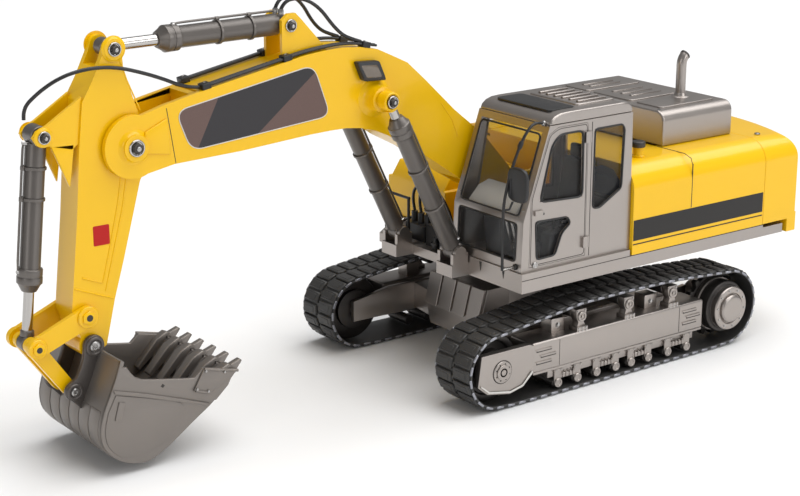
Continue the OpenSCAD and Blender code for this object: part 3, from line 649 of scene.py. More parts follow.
class ExcavatorSizes(bpy.types.PropertyGroup):
    """Sizes of the details that have no node of their own"""

    pad_pitch: bpy.props.FloatProperty(
        name="Pad pitch", description="Distance from one track pad to the next, in millimetres",
        default=10.2, min=8, max=14)
    pad_gap: bpy.props.FloatProperty(
        name="Pad gap", description="Groove between two track pads, in millimetres",
        default=1.9, min=0.8, max=2.4)
    edge_round: bpy.props.FloatProperty(
        name="Edge rounding", description="Radius on the edges of plates, in millimetres",
        default=0.6, min=0.2, max=1.2)


def sizes():
    return bpy.context.scene.excavator_sizes


# ---------------------------------------------------------------- tracks


ROLLER_X = (57.4, 38.7, 20, 1, -14.5, -32, -52.3, -72)
CLAMP_X = (48, 10.5, -23.2, -62)
CARRIER_X = (35.4, -11.4, -56)
SPACER_X = (51, -41)
FRAME_SEAM_X = (-62, 57.5)
AXLE_Z = 7.8
# Depths of the belt's outer and inner face below the tread
BELT_OUTER, BELT_INNER = 1.5, 3.15


def belt_outline(depth, steps=28):
    """The belt's loop as (x, z), depth below its outer face."""
    low, high = reach("track_belt_left")
    idler_r = high[0] - IDLER[0] - depth
    sprocket_r = SPROCKET[0] - low[0] - depth
    top = high[2]
    outline = arc(IDLER, idler_r, -80, 78, steps)
    outline += [(38, top - 0.5 - depth), (-11, top - depth), (-58, top - 1 - depth)]
    outline += arc(SPROCKET, sprocket_r, 98, 262, steps)
    return outline + [(-100, depth), (98, depth)]


def stations(outline, count, offset=0.0):
    """Evenly spaced places round a closed outline, each as (point, direction)."""
    points = [Vector(p) for p in outline]
    runs = [(a, points[(i + 1) % len(points)]) for i, a in enumerate(points)]
    total = sum((b - a).length for a, b in runs)
    places = []
    for k in range(count):
        left = (k + offset) * total / count
        for a, b in runs:
            length = (b - a).length
            if left <= length:
                places.append((a + (b - a) * (left / length), (b - a).normalized()))
                break
            left -= length
    return places


def pad_matrix(place, direction):
    ahead = Vector((direction.x, 0, direction.y))
    out = Vector((direction.y, 0, -direction.x))
    turn = Matrix((ahead, -ACROSS, out)).transposed().to_4x4()
    return Matrix.Translation(at(place.x, 0, place.y)) @ turn


def pad_block(x0, x1, y0, y1, z0, z1, ease, finish):
    """A block of one track segment in the segment's own frame, y measured outwards."""
    piece = box((x0, -y1, z0), (x1, -y0, z1), ease, 1)
    piece.data.transform(Matrix.Translation(-at(0, 0, 0)))
    return painted(piece, finish)


def pad(half, span, raised_span):
    """A tread block and the lower step on top of it, each with its (y0, y1)."""
    return joined(pad_block(-half, half, *span, -2.0, 0, 0.75, RUBBER),
                  pad_block(-half * 0.55, half * 0.55, *raised_span, -0.4, 0.3, 0.25, RUBBER))


def track_belt():
    inner = TRACK_IN
    outline = belt_outline(0)
    length = sum((Vector(a) - Vector(b)).length for a, b in zip(outline, outline[1:] + outline[:1]))
    count = round(length / sizes().pad_pitch)
    half = (length / count - sizes().pad_gap) / 2
    middle = (inner + TRACK_OUT) / 2
    outer_pad = pad(half, (middle + 1.1, TRACK_OUT - 1.4), (middle + 4.5, TRACK_OUT - 5))
    link = pad_block(-3.1, 3.1, TRACK_OUT - 1.5, TRACK_OUT - 0.2, -2.7, -1.0, 0.3, LINK)
    inner_pad = pad(half, (inner + 1.4, middle - 1.1), (inner + 5, middle - 4.5))
    inner_link = pad_block(-3.1, 3.1, inner + 0.2, inner + 1.5, -2.7, -1.0, 0.3, LINK)
    knob = pad_block(-1.7, 1.7, middle - 0.9, middle + 0.9, -1.8, -0.7, 0.25, RUBBER)
    parts = Pieces()
    for offset, originals in ((0.0, (outer_pad, inner_link)), (0.5, (inner_pad, link, knob))):
        for place, direction in stations(outline, count, offset):
            matrix = pad_matrix(place, direction)
            parts += [copied(piece, matrix) for piece in originals]
    for piece in (outer_pad, link, inner_pad, inner_link, knob):
        bpy.data.objects.remove(piece, do_unlink=True)
    loop = plate(belt_outline(BELT_OUTER), inner + 0.5, TRACK_OUT - 0.6, 0)
    cut(loop, plate(belt_outline(BELT_INNER), inner - 1, TRACK_OUT + 1, 0))
    return joined(ease_edges(painted(loop, RUBBER), 0.25, 1), *parts)


def sprocket_wheel():
    teeth, root, crest = 15, 22.4, 25.9
    outline = []
    for i in range(teeth):
        for share, radius in ((-0.30, root), (-0.13, crest), (0.13, crest), (0.30, root)):
            turn = 2 * math.pi * (i + share) / teeth
            outline.append((SPROCKET[0] + radius * math.cos(turn), SPROCKET[1] + radius * math.sin(turn)))
    disc = painted(plate(outline, 79, 84, 0.4, 2, 25), DARK)
    axis = at(SPROCKET[0], 0, SPROCKET[1])
    drum = painted(turned(axis, ACROSS, [(83.5, 20), (97.6, 20), (98.4, 19.2), (98.4, 17.6), (99.4, 17.4)],
                          56, 0.3), DARK)
    collar = painted(turned(axis, ACROSS, [(84.5, 20.6), (87, 21.2), (88.4, 21.2), (89, 20.6)], 56), GREY)
    flange = painted(turned(axis, ACROSS, [(98.6, 16.2), (98.8, 16.9), (103.8, 16.9), (104.6, 16.2),
                                           (104.6, 12.2), (103.6, 11.7)], 64, 0.15), GREY)
    cap = painted(turned(axis, ACROSS, [(103, 10.9), (105.2, 10.9), (106.2, 10.3), (106.75, 9.2),
                                        (106.9, 7.5), (106.9, 0.5)], 56), GREY)
    bolts = Pieces()
    for x, z in round_places(SPROCKET, 14.4, 10, 8):
        bolts.add(PIN, hex_bolt(at(x, 104.4, z), ACROSS, 0.85, 0.9))
    return joined(disc, drum, collar, flange, cap, *bolts)


def idler_wheel():
    axis = at(IDLER[0], 0, IDLER[1])
    low, high = reach("idler_left")
    rim = (high[0] - low[0]) / 2
    wheel = turned(axis, ACROSS, [(76, rim - 1), (76.6, rim), (89.4, rim), (90, rim - 1), (90, rim - 4.5),
                                  (88.4, rim - 5.5), (88.4, 14), (93.4, 13.4), (93.6, 6)], 64, 0.25)
    back = turned(axis, ACROSS, [(72, 14.4), (72.5, 15), (78, 15)], 48)
    return painted(joined(wheel, back), DARK)


def idler_guard():
    guard = skin("idler_guard_left", 1.5, 4)
    face = reach("idler_guard_left")[1][1] - 1.8
    boss_x, boss_z = IDLER[0] - 1, IDLER[1]
    axis = at(boss_x, face, boss_z)
    groove = painted(turned(axis, ACROSS, [(-0.4, 8.6), (0.12, 8.6)], 40), SHADOW)
    plate_ring = painted(turned(axis, ACROSS, [(0, 8.0), (0.5, 8.0), (0.8, 7.6), (0.8, 4.4)], 40, 0.1), GREY)
    boss = painted(turned(axis, ACROSS, [(0.4, 3.7), (1.5, 3.7), (1.8, 3.3), (1.8, 2.0), (1.3, 1.8)], 32,
                          0.1), PIN)
    holes = [turned(at(x, face + 0.7, z), ACROSS, [(0, 0.55), (0.35, 0.5)], 10)
             for x, z in round_places((boss_x, boss_z), 6.2, 8, 20)]
    bolts = Pieces().add(SHADOW, *holes)
    # A pale strip along a bend of the guard, a painted highlight.
    fold_highlight = painted(plate([(84.6, 23.2), (93.4, 14.6), (105, 12.2), (124.4, 15.9), (131.8, 21.9),
                          (131.2, 22.6), (124, 17), (105, 13.4), (93.9, 15.8), (85.2, 24.2)], face + 0.6,
                         face + 1.1, 0.1, 1), PALE)
    return joined(guard, groove, plate_ring, boss, fold_highlight, *bolts)


def slanted_ribs(x0, side_y):
    """Three raised ribs with cut ends and a painted shadow under each."""
    parts = Pieces()
    for row, shift in ((0, 4), (1, 0), (2, 4)):
        z = 36.2 - 4.6 * row
        x = x0 + shift
        rib = plate([(x, z), (x + 14, z), (x + 15.6, z + 1.5), (x + 0.6, z + 1.5)], side_y - 0.2,
                    side_y + 0.75, 0.25)
        shade = plate([(x, z - 0.9), (x + 14.5, z - 0.9), (x + 14.5, z), (x, z)], side_y - 0.2, side_y + 0.1,
                      0)
        parts.add(GREY, rib).add(SHADOW, shade)
    return parts


def track_frame():
    inner, side = reach("track_frame_left")[0][1] + 2, reach("track_frame_left")[1][1]
    outer_box = plate([(83, 20.4), (83, 42.7), (-87, 42.7), (-87, 20.4)], 76, side, 1.6, 4)
    inner_plate = plate([(118, 21), (118, 37), (83, 42.7), (-87, 42.7), (-100, 44), (-100, 18), (-87, 20.4),
                         (83, 20.4)], inner, 70, 0.6)
    web = box((-80, 69, 24), (78, 77, 38), 0.4)
    arm_bar = box((70, 94.2, 23), (118, 97, 36), 0.5)
    axles = [bar(IDLER, 4, 69, 95), bar(SPROCKET, 15, inner - 2, 76, 48, 0.6), bar(SPROCKET, 6, 75, 96)]
    parts = Pieces().add(GREY, outer_box, inner_plate, web, arm_bar, *axles)
    parts += slanted_ribs(61, side) + slanted_ribs(-84, side)
    for x in FRAME_SEAM_X:
        parts.add(SHADOW, box((x, side - 0.2, 21.9), (x + 0.4, side + 0.1, 41.2), 0))
    for x in SPACER_X:
        block = painted(box((x - 6.2, 79.8, 42.2), (x + 6.2, 91, 53), 0.6, 3), GREY)
        parts += [block, painted(hex_bolt(at(x, 90.9, 47.6), ACROSS, 1.7, 1.5), PIN)]
    parts.add(GREY, box((-86, side - 1.2, 18.9), (82, side - 0.2, 20.8), 0.3))
    return joined(*parts)


def carrier_roller(x):
    """Top roller with its ornate bracket: bolted foot, waisted plate and a ring eye."""
    side = 99
    foot = plate([(x - 5.2, 41.5), (x + 5.2, 41.5), (x + 5.2, 45.8), (x - 5.2, 45.8)], 91, side + 1.2, 0.4)
    waist = plate([(x - 4.2, 45), (x + 4.2, 45), (x + 2.6, 49), (x + 4.6, 53), (x + 4.8, 58.6),
                   (x - 4.8, 58.6), (x - 4.6, 53), (x - 2.6, 49)], 92, side - 0.4, 0.35)
    eye = turned(at(x, side - 0.8, 53.2), ACROSS, [(0, 3.9), (1.4, 3.9), (1.9, 3.5), (1.9, 2.3), (1.2, 2.1)],
                 32, 0.1)
    lip = turned(at(x, side + 0.2, 53.2), ACROSS, [(0, 1.2), (1.0, 1.2), (1.2, 0.9)], 16)
    parts = Pieces().add(GREY, foot, waist, eye, lip)
    for dx in (-3.4, 0, 3.4):
        for z in (42.9, 44.9):
            parts.add(PIN, turned(at(x + dx, side + 1.1, z), ACROSS, [(0, 0.75), (0.5, 0.7)], 8))
    for dx in (-3.6, 3.6):
        parts.add(PIN, turned(at(x + dx, side - 0.5, 57.2), ACROSS, [(0, 0.7), (0.6, 0.6)], 8))
    parts.add(DARK, bar((x, 55.5), 5.2, 76, 92, 36, 0.5))
    return parts


def track_rollers():
    roller_r = 4
    parts = Pieces().add(GREY, box((-80, 84, 12.6), (66, 98, 20.3), 0.4))
    for x in ROLLER_X:
        parts.add(DARK, bar((x, AXLE_Z), roller_r, 76, 98.4, 36, 0.5))
        hanger = plate(link_outline((x, 16.6), (x, 7.9), 3.2, 3.4, 8), 98.2, 99.6, 0.25, 1)
        eye = turned(at(x, 99.4, 7.9), ACROSS, [(0, 3.5), (1.0, 3.5), (1.5, 3.0), (1.5, 1.9), (0.9, 1.7)], 28,
                     0.1)
        parts.add(GREY, hanger, eye)
        parts.add(GREY, box((x - 3.9, 97.8, 16.4), (x + 3.9, 100.2, 18.6), 0.25, 1))
        for dx in (-2.4, 2.4):
            parts.add(PIN, turned(at(x + dx, 100.1, 17.5), ACROSS, [(0, 0.6), (0.5, 0.5)], 8))
    for x in CLAMP_X:
        parts.add(GREY, box((x - 7.4, 98, 10.9), (x + 7.4, 99.8, 14.2), 0.3, 1))
        for dx in (-5, -1.7, 1.7, 5):
            parts.add(GREY, box((x + dx - 0.5, 99.6, 11.2), (x + dx + 0.5, 100.4, 15.4), 0.15, 1))
    for x in CARRIER_X:
        parts += carrier_roller(x)
    return joined(*parts)


class EXCAVATOR_OT_tracks(bpy.types.Operator):
    """Makes the belts with their pads, the drive and idler wheels, rollers and track frames"""

    bl_idname = "excavator.tracks"
    bl_label = "Tracks"

    def execute(self, context):
        turning = {"sprocket": "drive", "idler": "idle"}
        for name, make in (("track_belt", track_belt), ("sprocket", sprocket_wheel), ("idler", idler_wheel),
                           ("idler_guard", idler_guard), ("track_frame", track_frame),
                           ("track_rollers", track_rollers)):
            left = make()
            for piece, side in ((left, "left"), (mirrored(left), "right")):
                body = f"{turning[name]}_{side}" if name in turning else "undercarriage"
                fit(piece, body, f"{name}_{side}")
        return {"FINISHED"}


# ---------------------------------------------------------------- chassis and platform


class EXCAVATOR_OT_chassis(bpy.types.Operator):
    """Makes the chassis with its ribbed covers, and the slewing ring"""

    bl_idname = "excavator.chassis"
    bl_label = "Chassis"

    def execute(self, context):
        fit_skins("undercarriage", ("chassis_frame", 1.0, 3), ("chassis_cover", 0.6, 3), ("slew_ring", 0.5))
        low, high = reach("slew_bearing")
        radius = (high[0] - low[0]) / 2
        bolts = Pieces()
        for x, y in round_places((0, 0), radius - 2.4, 24):
            bolts.add(PIN, hex_bolt(at(x, y, low[2]), -UP, 1.1, 1.0))
        for i in range(36):
            turn = Matrix.Rotation(math.radians(10 * i), 4, "Z")
            tooth = painted(box((radius - 0.6, -1.6, low[2] + 1.2), (radius + 1.2, 1.6, high[2] - 1.2), 0.3,
                                1), DARK)
            tooth.data.transform(Matrix.Translation(at(0, 0, 0)) @ turn @ Matrix.Translation(-at(0, 0, 0)))
            bolts.append(tooth)
        fit(joined(skin("slew_bearing", 0.4), *bolts), "house", "slew_bearing")
        return {"FINISHED"}


def notch(y, top):
    """A small dark wedge on the sill below the windscreen."""
    front = reach("platform")[1][0]
    return painted(wall([(y - 1.3, top), (y + 1.3, top), (y, top - 6.5)], SILL_X - 0.1, SILL_X + 0.25, 0),
                   SHADOW)


def bay_fittings():
    """Fittings, elbows and small valves round the hoses in the front bay."""
    parts = Pieces()
    for i, (x, y, tall) in enumerate(((64, -54, 9), (58, -34, 12), (84, -53, 7), (64, 2, 15), (88, -4, 9),
                                      (87, 10, 13), (60, -12, 14), (88, -50, 12))):
        foot = at(x, y, 88)
        body_piece = turned(foot, UP, [(0, 2.8), (tall * 0.4, 2.8), (tall * 0.4, 3.6), (tall * 0.62, 3.6),
                                       (tall * 0.62, 2.2), (tall, 1.9)], 6 if i % 2 else 20, 0.15)
        parts.add(BLACK if i % 3 else PIN, body_piece)
    for x0, y0, x1, y1 in ((64, -54, 84, -53), (58, -34, 64, -54), (88, -4, 87, 10), (60, -12, 64, 2)):
        parts.add(HOSE, tube([at(x0, y0, 96), at((x0 + x1) / 2, (y0 + y1) / 2, 103), at(x1, y1, 96)], 1.1,
                             False, True))
    return parts


class EXCAVATOR_OT_platform(bpy.types.Operator):
    """Makes the slewing platform with its skirt details, valves, rails and boom tower"""

    bl_idname = "excavator.platform"
    bl_label = "Platform"

    def execute(self, context):
        parts = Pieces(notch(y, 94) for y in (30, 55, 80))
        side = HOUSE_SIDE
        parts.add(SHADOW, box((-150, side - 0.2, 90), (SILL_X, side + 0.15, 90.5), 0))
        deck = skin("platform", sizes().edge_round, 3)
        fit(joined(deck, *parts), "house", "platform")
        tower = joined(skin("boom_tower", 0.8, 3), *[painted(hex_bolt(at(BOOM_FOOT[0], s * 20.2,
                BOOM_FOOT[1]), ACROSS * s, 4.2, 2.2), PIN) for s in (-1, 1)])
        fit(tower, "house", "boom_tower")
        fit(joined(skin("valve_block", 0.6, 2), *bay_fittings()), "house", "valve_block")
        fit_skins("house", ("hand_rails", 0), ("slew_motor", 0.4), ("battery_pack", 1.5, 3),
                  ("control_unit", 0.3))
        return {"FINISHED"}


# ---------------------------------------------------------------- house


def side_panel():
    low, high = reach("side_panel_left")
    front, rear, side = high[0], low[0], HOUSE_SIDE
    panel = skin("side_panel_left", 0.7, 3)
    parts = Pieces().add("stripe_film", box((rear + 1, side - 0.3, 101), (front - 0.6, side + 0.22, 116.4),
                                            0.1, 1), box((rear + 1, side - 0.3, 97.9),
                                                         (front - 0.6, side + 0.2, 98.7), 0)).add(SHADOW,
            box((-70.4, side - 0.5, 117), (-69.8, side + 0.12, 150), 0))
    roof_seam = [at(-70.1, y, PANEL_TOP + 0.05) for y in (62, 91)]
    parts.add(SHADOW, tube(roof_seam + [at(-70.1, 97.7, 153.7), at(-70.1, side + 0.02, 148)], 0.3))
    return joined(panel, *parts)


def filler_cap():
    neck = at(-37, 76, PANEL_TOP)
    post = turned(neck, UP, [(0, 5.2), (0.8, 5.2), (1.2, 3.9), (7.2, 3.9)], 32, 0.1)
    cap = turned(neck, UP, [(7.0, 5.0), (7.4, 5.4), (10.6, 5.4), (11.3, 4.8), (11.5, 3.2)], 14, 0.25)
    return [painted(post, YELLOW), painted(cap, DARK)]


def hood():
    shell = skin("engine_hood", 3.2, 5)
    low, high = reach("engine_hood")
    top = high[2]
    parts = Pieces()
    for y0, y1 in ((-54, -26), (-21, 22), (27, 55)):
        corners = rounded([(low[0] + 8, y0), (high[0] - 8, y0), (high[0] - 8, y1), (low[0] + 8, y1)], 4)
        parts.add(GREY, slab(corners, top - 0.3, top + 0.9, 0.5, 3))
    for y in (-46, -38, -12, -2, 8):
        parts.add(GREY, box((low[0] + 22, y, top + 0.7), (high[0] - 20, y + 3, top + 1.6), 0.6))
    parts.add(BLACK, turned(at(high[0] - 4, 57, top - 1.2), Vector((0.3, 0.3, 1)), [(0, 1.3), (1.4, 1.3)], 16,
                            0.3))
    return joined(shell, *parts)


def exhaust():
    foot_x, foot_y, top = -122.5, 33, reach("engine_hood")[1][2]
    bend_z, bend_r, last_turn = 208, 9, 0.96
    bend = [at(foot_x, foot_y, z) for z in (top, 195, 204, bend_z)]
    bend += [at(foot_x - bend_r + bend_r * math.cos(t), foot_y, bend_z + bend_r * math.sin(t))
             for t in (0.25, 0.5, 0.75, last_turn)]
    pipe = tube(bend, 3.9, False, True, 8)
    along = Vector((-math.sin(last_turn), 0, math.cos(last_turn)))
    mouth = turned(bend[-1], along, [(-1.2, 4.1), (0.2, 4.1), (0.2, 3.2), (-0.6, 3.0)], 28)
    collar = turned(at(foot_x, foot_y, top - 0.2), UP, [(0, 7.5), (1.0, 7.5), (1.6, 6.6), (1.8, 4.9),
                                                        (4, 4.5)], 36, 0.1)
    return joined(painted(pipe, GREY), painted(mouth, DARK), painted(collar, GREY))


class EXCAVATOR_OT_house(bpy.types.Operator):
    """Makes the side panels with their stripes, the counterweight, hood, exhaust, deck and tank"""

    bl_idname = "excavator.house"
    bl_label = "House"

    def execute(self, context):
        left = side_panel()
        right = mirrored(left)
        fit(joined(left, *filler_cap()), "house", "side_panel_left")
        fit(right, "house", "side_panel_right")
        low, high = reach("counterweight")
        fillers = [painted(box((-172, ys[0], 91), (high[0] - 0.6, ys[1], 95.3), 0.3, 1), YELLOW)
                   for ys in ((high[1] - 3, high[1] - 0.1), (low[1] + 0.1, low[1] + 3))]
        fit(joined(skin("counterweight", 2.4, 4), *fillers), "house", "counterweight")
        fit_skins("house", ("deck_cover", 0.6), ("tank_right", 1.4, 3))
        fit(hood(), "house", "engine_hood")
        fit(exhaust(), "house", "exhaust_pipe")
        fit_skins("house", ("body_screws", 0.3, 1))
        return {"FINISHED"}


# ---------------------------------------------------------------- cab


DOOR_LIGHT = [(76, 143.5), (66, 182), (59, 189), (37, 189), (36.5, 141.5)]
DOOR_LOW_LIGHT = [(79.5, 130), (50, 129), (47, 124), (55, 118), (61, 103), (78, 102.5)]
REAR_LIGHT = [(26, 188.5), (0, 188.5), (-2.5, 185), (-1, 142), (20, 130.5), (26.5, 131.5)]
ROOF_LINE = [(68.3, 196), (66.6, 199.4), (63.2, 202), (58, 203.6), (50, 204), (0, 204), (-6, 203.2),
             (-9, 201), (-10, 197.6), (-10, 196)]


WINDSCREEN_FOOT = (90.5, 131)
WINDSCREEN_HEAD = (68.3, 196)


def gasket(outline, y, radius=0.75, corner=3):
    return painted(bead(rounded(outline, corner), y, radius), BLACK)


def slope_point(share, y, out=0.0):
    """A point up the windscreen plane, from the waist (0) to the roof (1)."""
    low, high = Vector(WINDSCREEN_FOOT), Vector(WINDSCREEN_HEAD)
    p = low + (high - low) * share
    normal = Vector((high.y - low.y, low.x - high.x)).normalized()
    return at(p.x + normal.x * out, y, p.y + normal.y * out)


def cab_shell():
    shell = skin("cab_frame", 1.3, 3)
    parts = Pieces([gasket(REAR_LIGHT, CAB_OUT - 0.1)])
    corners = [(0.05, CAB_IN + 5.4), (0.9, CAB_IN + 5.4), (0.9, CAB_OUT - 6.4), (0.05, CAB_OUT - 6.4)]
    loop = [slope_point(s, y, 0.1) for s, y in rounded_pair(corners)]
    parts.add(BLACK, tube(loop, 0.7, True))
    low_corners = rounded([(CAB_IN + 6, 102), (CAB_OUT - 7, 102), (CAB_OUT - 7, 129), (CAB_IN + 6, 129)], 3)
    parts.add(BLACK, tube([at(92 - (z - 95) * 0.042 + 0.1, y, z) for y, z in low_corners], 0.7, True))
    for y in (CAB_IN + 3, CAB_OUT - 3):
        parts.add(PIN, hex_bolt(slope_point(0.12, y, 0), Vector((0.946, 0, 0.323)), 0.8, 0.6))
    seam = box((28.6, CAB_OUT - 0.3, 97), (29.1, CAB_OUT + 0.1, 194), 0)
    parts.add(SHADOW, seam)
    return joined(shell, *parts)


def rounded_pair(corners, steps=5):
    """Rounded corners for an outline of (share, y), whose two scales differ."""
    scale = 68.7  # the windscreen's slant length
    return [(a / scale, y) for a, y in rounded([(s * scale, y) for s, y in corners], 4, steps)]


def cab_roof():
    roof = plate(ROOF_LINE, CAB_IN, CAB_OUT, 3.2, 5, 50)
    parts = Pieces().add(GREY, even_normals(roof))
    sky = rounded([(37, CAB_IN + 9), (61, CAB_IN + 9), (61, CAB_OUT - 9), (37, CAB_OUT - 9)], 4)
    parts.add(BLACK, slab(sky, 203.0, 204.5, 0.3))
    hatch = rounded([(-4, CAB_IN + 12), (33, CAB_IN + 12), (33, CAB_OUT - 12), (-4, CAB_OUT - 12)], 4)
    parts.add(GREY, slab(hatch, 203.0, 205.0, 0.9, 4))
    for i in range(6):
        y = CAB_IN + 17 + i * 8
        parts.add(GREY, box((1, y, 204.9), (28, y + 2.6, 206.2), 0.6, 3))
    return joined(*parts)


def seat():
    cushion = box((10, 45, 100), (40, 73, 111), 3, 5)
    back = plate([(11, 110), (18, 110), (10, 158), (4, 158)], 46, 72, 2.4, 4)
    rest = box((3, 51, 158), (8, 67, 168), 2, 4)
    base = box((12, 48, 97), (36, 70, 101), 0.8)
    arms = [box((14, y, 116), (36, y + 4, 119), 1.2, 3) for y in (41, 73)]
    seams = [bead([(13, 111.1), (37, 111.1)], y, 0.3, False) for y in (52, 59, 66)]
    return painted(joined(cushion, back, rest, base, *arms, *seams), TRIM)


def controls():
    parts = Pieces()
    for y0, y1 in ((29, 39), (81, 91)):
        parts.add(TRIM, plate([(44, 97), (62, 97), (60, 116), (46, 118)], y0, y1, 1, 3))
    for y in (35, 85):
        parts.add(BLACK, tube([at(52, y, 116), at(52.5, y, 124), at(54, y, 132)], 1.1, False, True))
        parts.add(BLACK, turned(at(54, y, 131), Vector((0.2, 0, 1)), [(0, 1.6), (2, 2.6), (5, 2.8), (7, 1.8)],
                                20))
    dash = plate([(66, 126), (86, 131), (84.5, 134.5), (76, 143), (66, 146), (60, 134)], 30, 82, 1.2, 3)
    parts.add(PALE, dash)
    parts.add(TRIM, plate([(70, 97), (80, 97), (83, 127), (72, 127)], 44, 62, 1, 3))
    for y in (47, 66):
        parts.add(BLACK, plate([(68, 99), (78, 97.2), (80, 99), (70, 104)], y, y + 8, 0.5))
    for y in (68, 74):
        parts.add(CHROME, tube([at(74, y, 98), at(78, y, 112), at(82, y, 127)], 0.9))
    return joined(*parts)


def mirror():
    rail_y, glass_x = 91, 97
    rail = [(69.2, 197), (74, 198.6), (80, 197), (86, 190.5), (91, 182), (96, 171), (100, 160), (103, 148),
            (104, 138), (104, 118), (104, 98)]
    parts = Pieces().add(BLACK, tube([at(x, rail_y, z) for x, z in rail], 1.05, False, True, 4))
    parts.add(CHROME, turned(at(91.5, rail_y, 98.5), AHEAD, [(0, 1.0), (12.2, 1.0), (12.6, 0.6)], 20))
    parts.add(BLACK, turned(at(91.4, rail_y, 98.5), AHEAD, [(0, 2.3), (1.6, 2.1), (2.2, 1.4)], 20))
    parts.add(PIN, turned(at(68.4, rail_y, 196.6), Vector((0.8, 0, 0.6)), [(0, 2.0), (1.6, 2.0), (2.2, 1.3)],
                          20))
    parts.add(BLACK, turned(at(89.5, rail_y, 184.6), Vector((0.5, 0, -0.85)), [(-2.4, 1.7), (2.4, 1.7)], 16,
                            0.3))
    outline = rounded([(89.5, 147.5), (109.5, 147.5), (109.5, 171.5), (89.5, 171.5)], 7.5, 7)
    housing = wall(outline, glass_x - 0.6, glass_x + 2.8, 1.2, 4)
    parts.add(BLACK, housing)
    parts.add(CHROME, wall(rounded([(91, 149.4), (108, 149.4), (108, 169.8), (91, 169.8)], 6, 7),
                           glass_x - 0.9, glass_x - 0.5, 0.1, 1))
    parts.add(TRIM, wall([(93, 152), (94.2, 152), (94.2, 163), (93, 163)], glass_x + 2.6, glass_x + 3.2, 0.3))
    parts.add(BLACK, tube([at(103.6, rail_y, 141), at(100, rail_y + 2, 141.5), at(99, rail_y + 4, 147)], 0.8))
    return joined(*parts)


def door():
    shell = skin("cab_door", 0.7, 3)
    side = CAB_OUT
    parts = Pieces([gasket(DOOR_LIGHT, side, 0.8, 5), gasket(DOOR_LOW_LIGHT, side, 0.7, 3)])
    edge = [(83.6, 99), (83, 146), (67.6, 189.4), (59.6, 193), (35, 193), (33.6, 191.4), (33.6, 99)]
    parts.add(SHADOW, bead(rounded(edge, 3), side - 0.1, 0.3))
    screw = turned(at(79.5, side - 0.2, 98.9), ACROSS, [(0, 2.4), (0.9, 2.4), (1.3, 1.9), (1.3, 1.2),
                                                        (0.9, 1.0)], 24, 0.1)
    parts.add(PIN, screw)
    parts.add(PIN, box((73.5, side + 0.2, 134.6), (80.5, side + 1.4, 137.4), 0.5))
    parts.add(BLACK, box((71.8, side - 0.2, 134), (73.2, side + 0.5, 135.6), 0.2))
    return joined(shell, *parts)


class EXCAVATOR_OT_cab(bpy.types.Operator):
    """Makes the cab with its roof, gaskets, seat, controls, mirror and door"""

    bl_idname = "excavator.cab"
    bl_label = "Cab"

    def execute(self, context):
        for node, make in (("cab_frame", cab_shell), ("cab_roof", cab_roof), ("cab_seat", seat),
                           ("cab_controls", controls), ("cab_mirror", mirror)):
            fit(make(), "house", node)
        fit(door(), "door", "cab_door")
        fit_skins("house", ("cab_glass", 0.1, 1))
        fit_skins("door", ("door_glass", 0.1, 1))
        return {"FINISHED"}


# ---------------------------------------------------------------- cylinders


GLAND_LENGTH = 14


def direction(base, pin):
    return Vector((pin[0] - base[0], 0, pin[1] - base[1])).normalized()


def along(base, pin, y, distance, out=0.0):
    """A place on a cylinder's line, distance from its base and out to its upper side, in metres."""
    line = direction(base, pin)
    upper = Vector((-line.z, 0, line.x))
    place = at(base[0], y, base[1])
    return place + line * distance * MM + upper * out * MM


def barrel(base, pin, y, length, radius, rod_radius, eye, rings, side_pipe=1):
    """Cylinder barrel: eye, tube, clamp rings, gland with its bolts and taper, and an oil pipe."""
    line = direction(base, pin)
    start = at(base[0], y, base[1])
    gland = length - GLAND_LENGTH
    tube_piece = turned(start, line, [
        (4, radius - 1.2), (5, radius), (gland, radius), (gland, radius + 1.0), (gland + 0.6, radius + 1.5),
        (gland + 4.6, radius + 1.5), (gland + 4.6, radius + 1.1), (gland + 5.6, radius + 1.1),
        (gland + 5.6, radius + 1.6), (gland + 9.6, radius + 1.6), (gland + 10, radius + 0.9),
        (length + 1, rod_radius + 1.4), (length + 1, rod_radius + 0.1)], 48, 0.12)
    knuckle_r, knuckle_half, pin_r = eye
    knuckle = turned(start - ACROSS * knuckle_half * MM, ACROSS, [
        (0, pin_r), (0, knuckle_r - 0.5), (0.5, knuckle_r), (2 * knuckle_half - 0.5, knuckle_r),
        (2 * knuckle_half, knuckle_r - 0.5), (2 * knuckle_half, pin_r)], 36)
    parts = Pieces().add(GUNMETAL, tube_piece, knuckle)
    for share in rings:
        spot = start + line * length * share * MM
        parts.add(GUNMETAL, band(spot, line, radius - 0.3, radius + 0.9, 1.8))
        parts.add(SHADOW, band(spot - line * 0.5 * MM, line, radius - 0.3, radius + 0.2, 0.5))
        clip = along(base, pin, y, length * share + 0.9, (radius + 1.4) * side_pipe)
        parts.add(GUNMETAL, turned(clip - line * 1.4 * MM, line, [(0, 1.5), (2.8, 1.5)], 16, 0.2))
    for i in range(8):
        turn = Matrix.Rotation(math.radians(45 * i + 22), 3, line)
        spoke = turn @ Vector((-line.z, 0, line.x))
        place = start + line * (gland + 9.4) * MM + spoke * (radius - 0.2) * MM
        parts.add(PIN, turned(place, line, [(0, 0.8), (1.0, 0.8), (1.2, 0.6)], 6))
    pipe = [along(base, pin, y, 5, side_pipe * (radius - 1)), along(base, pin, y, 5,
            side_pipe * (radius + 1.6)), along(base, pin, y, 9, side_pipe * (radius + 1.9)),
            along(base, pin, y, gland - 5, side_pipe * (radius + 1.9)),
            along(base, pin, y, gland + 2, side_pipe * (radius + 1.6)),
            along(base, pin, y, gland + 2.4, side_pipe * radius)]
    parts.add(GUNMETAL, tube(pipe, 0.8, False, False, 3))
    for distance in (5, gland + 2.4):
        upper = Vector((-line.z, 0, line.x)) * side_pipe
        parts.add(PIN, turned(along(base, pin, y, distance, side_pipe * (radius - 1)), upper,
                              [(0, 1.7), (2.6, 1.7), (3.4, 1.3)], 6))
    return joined(*parts)


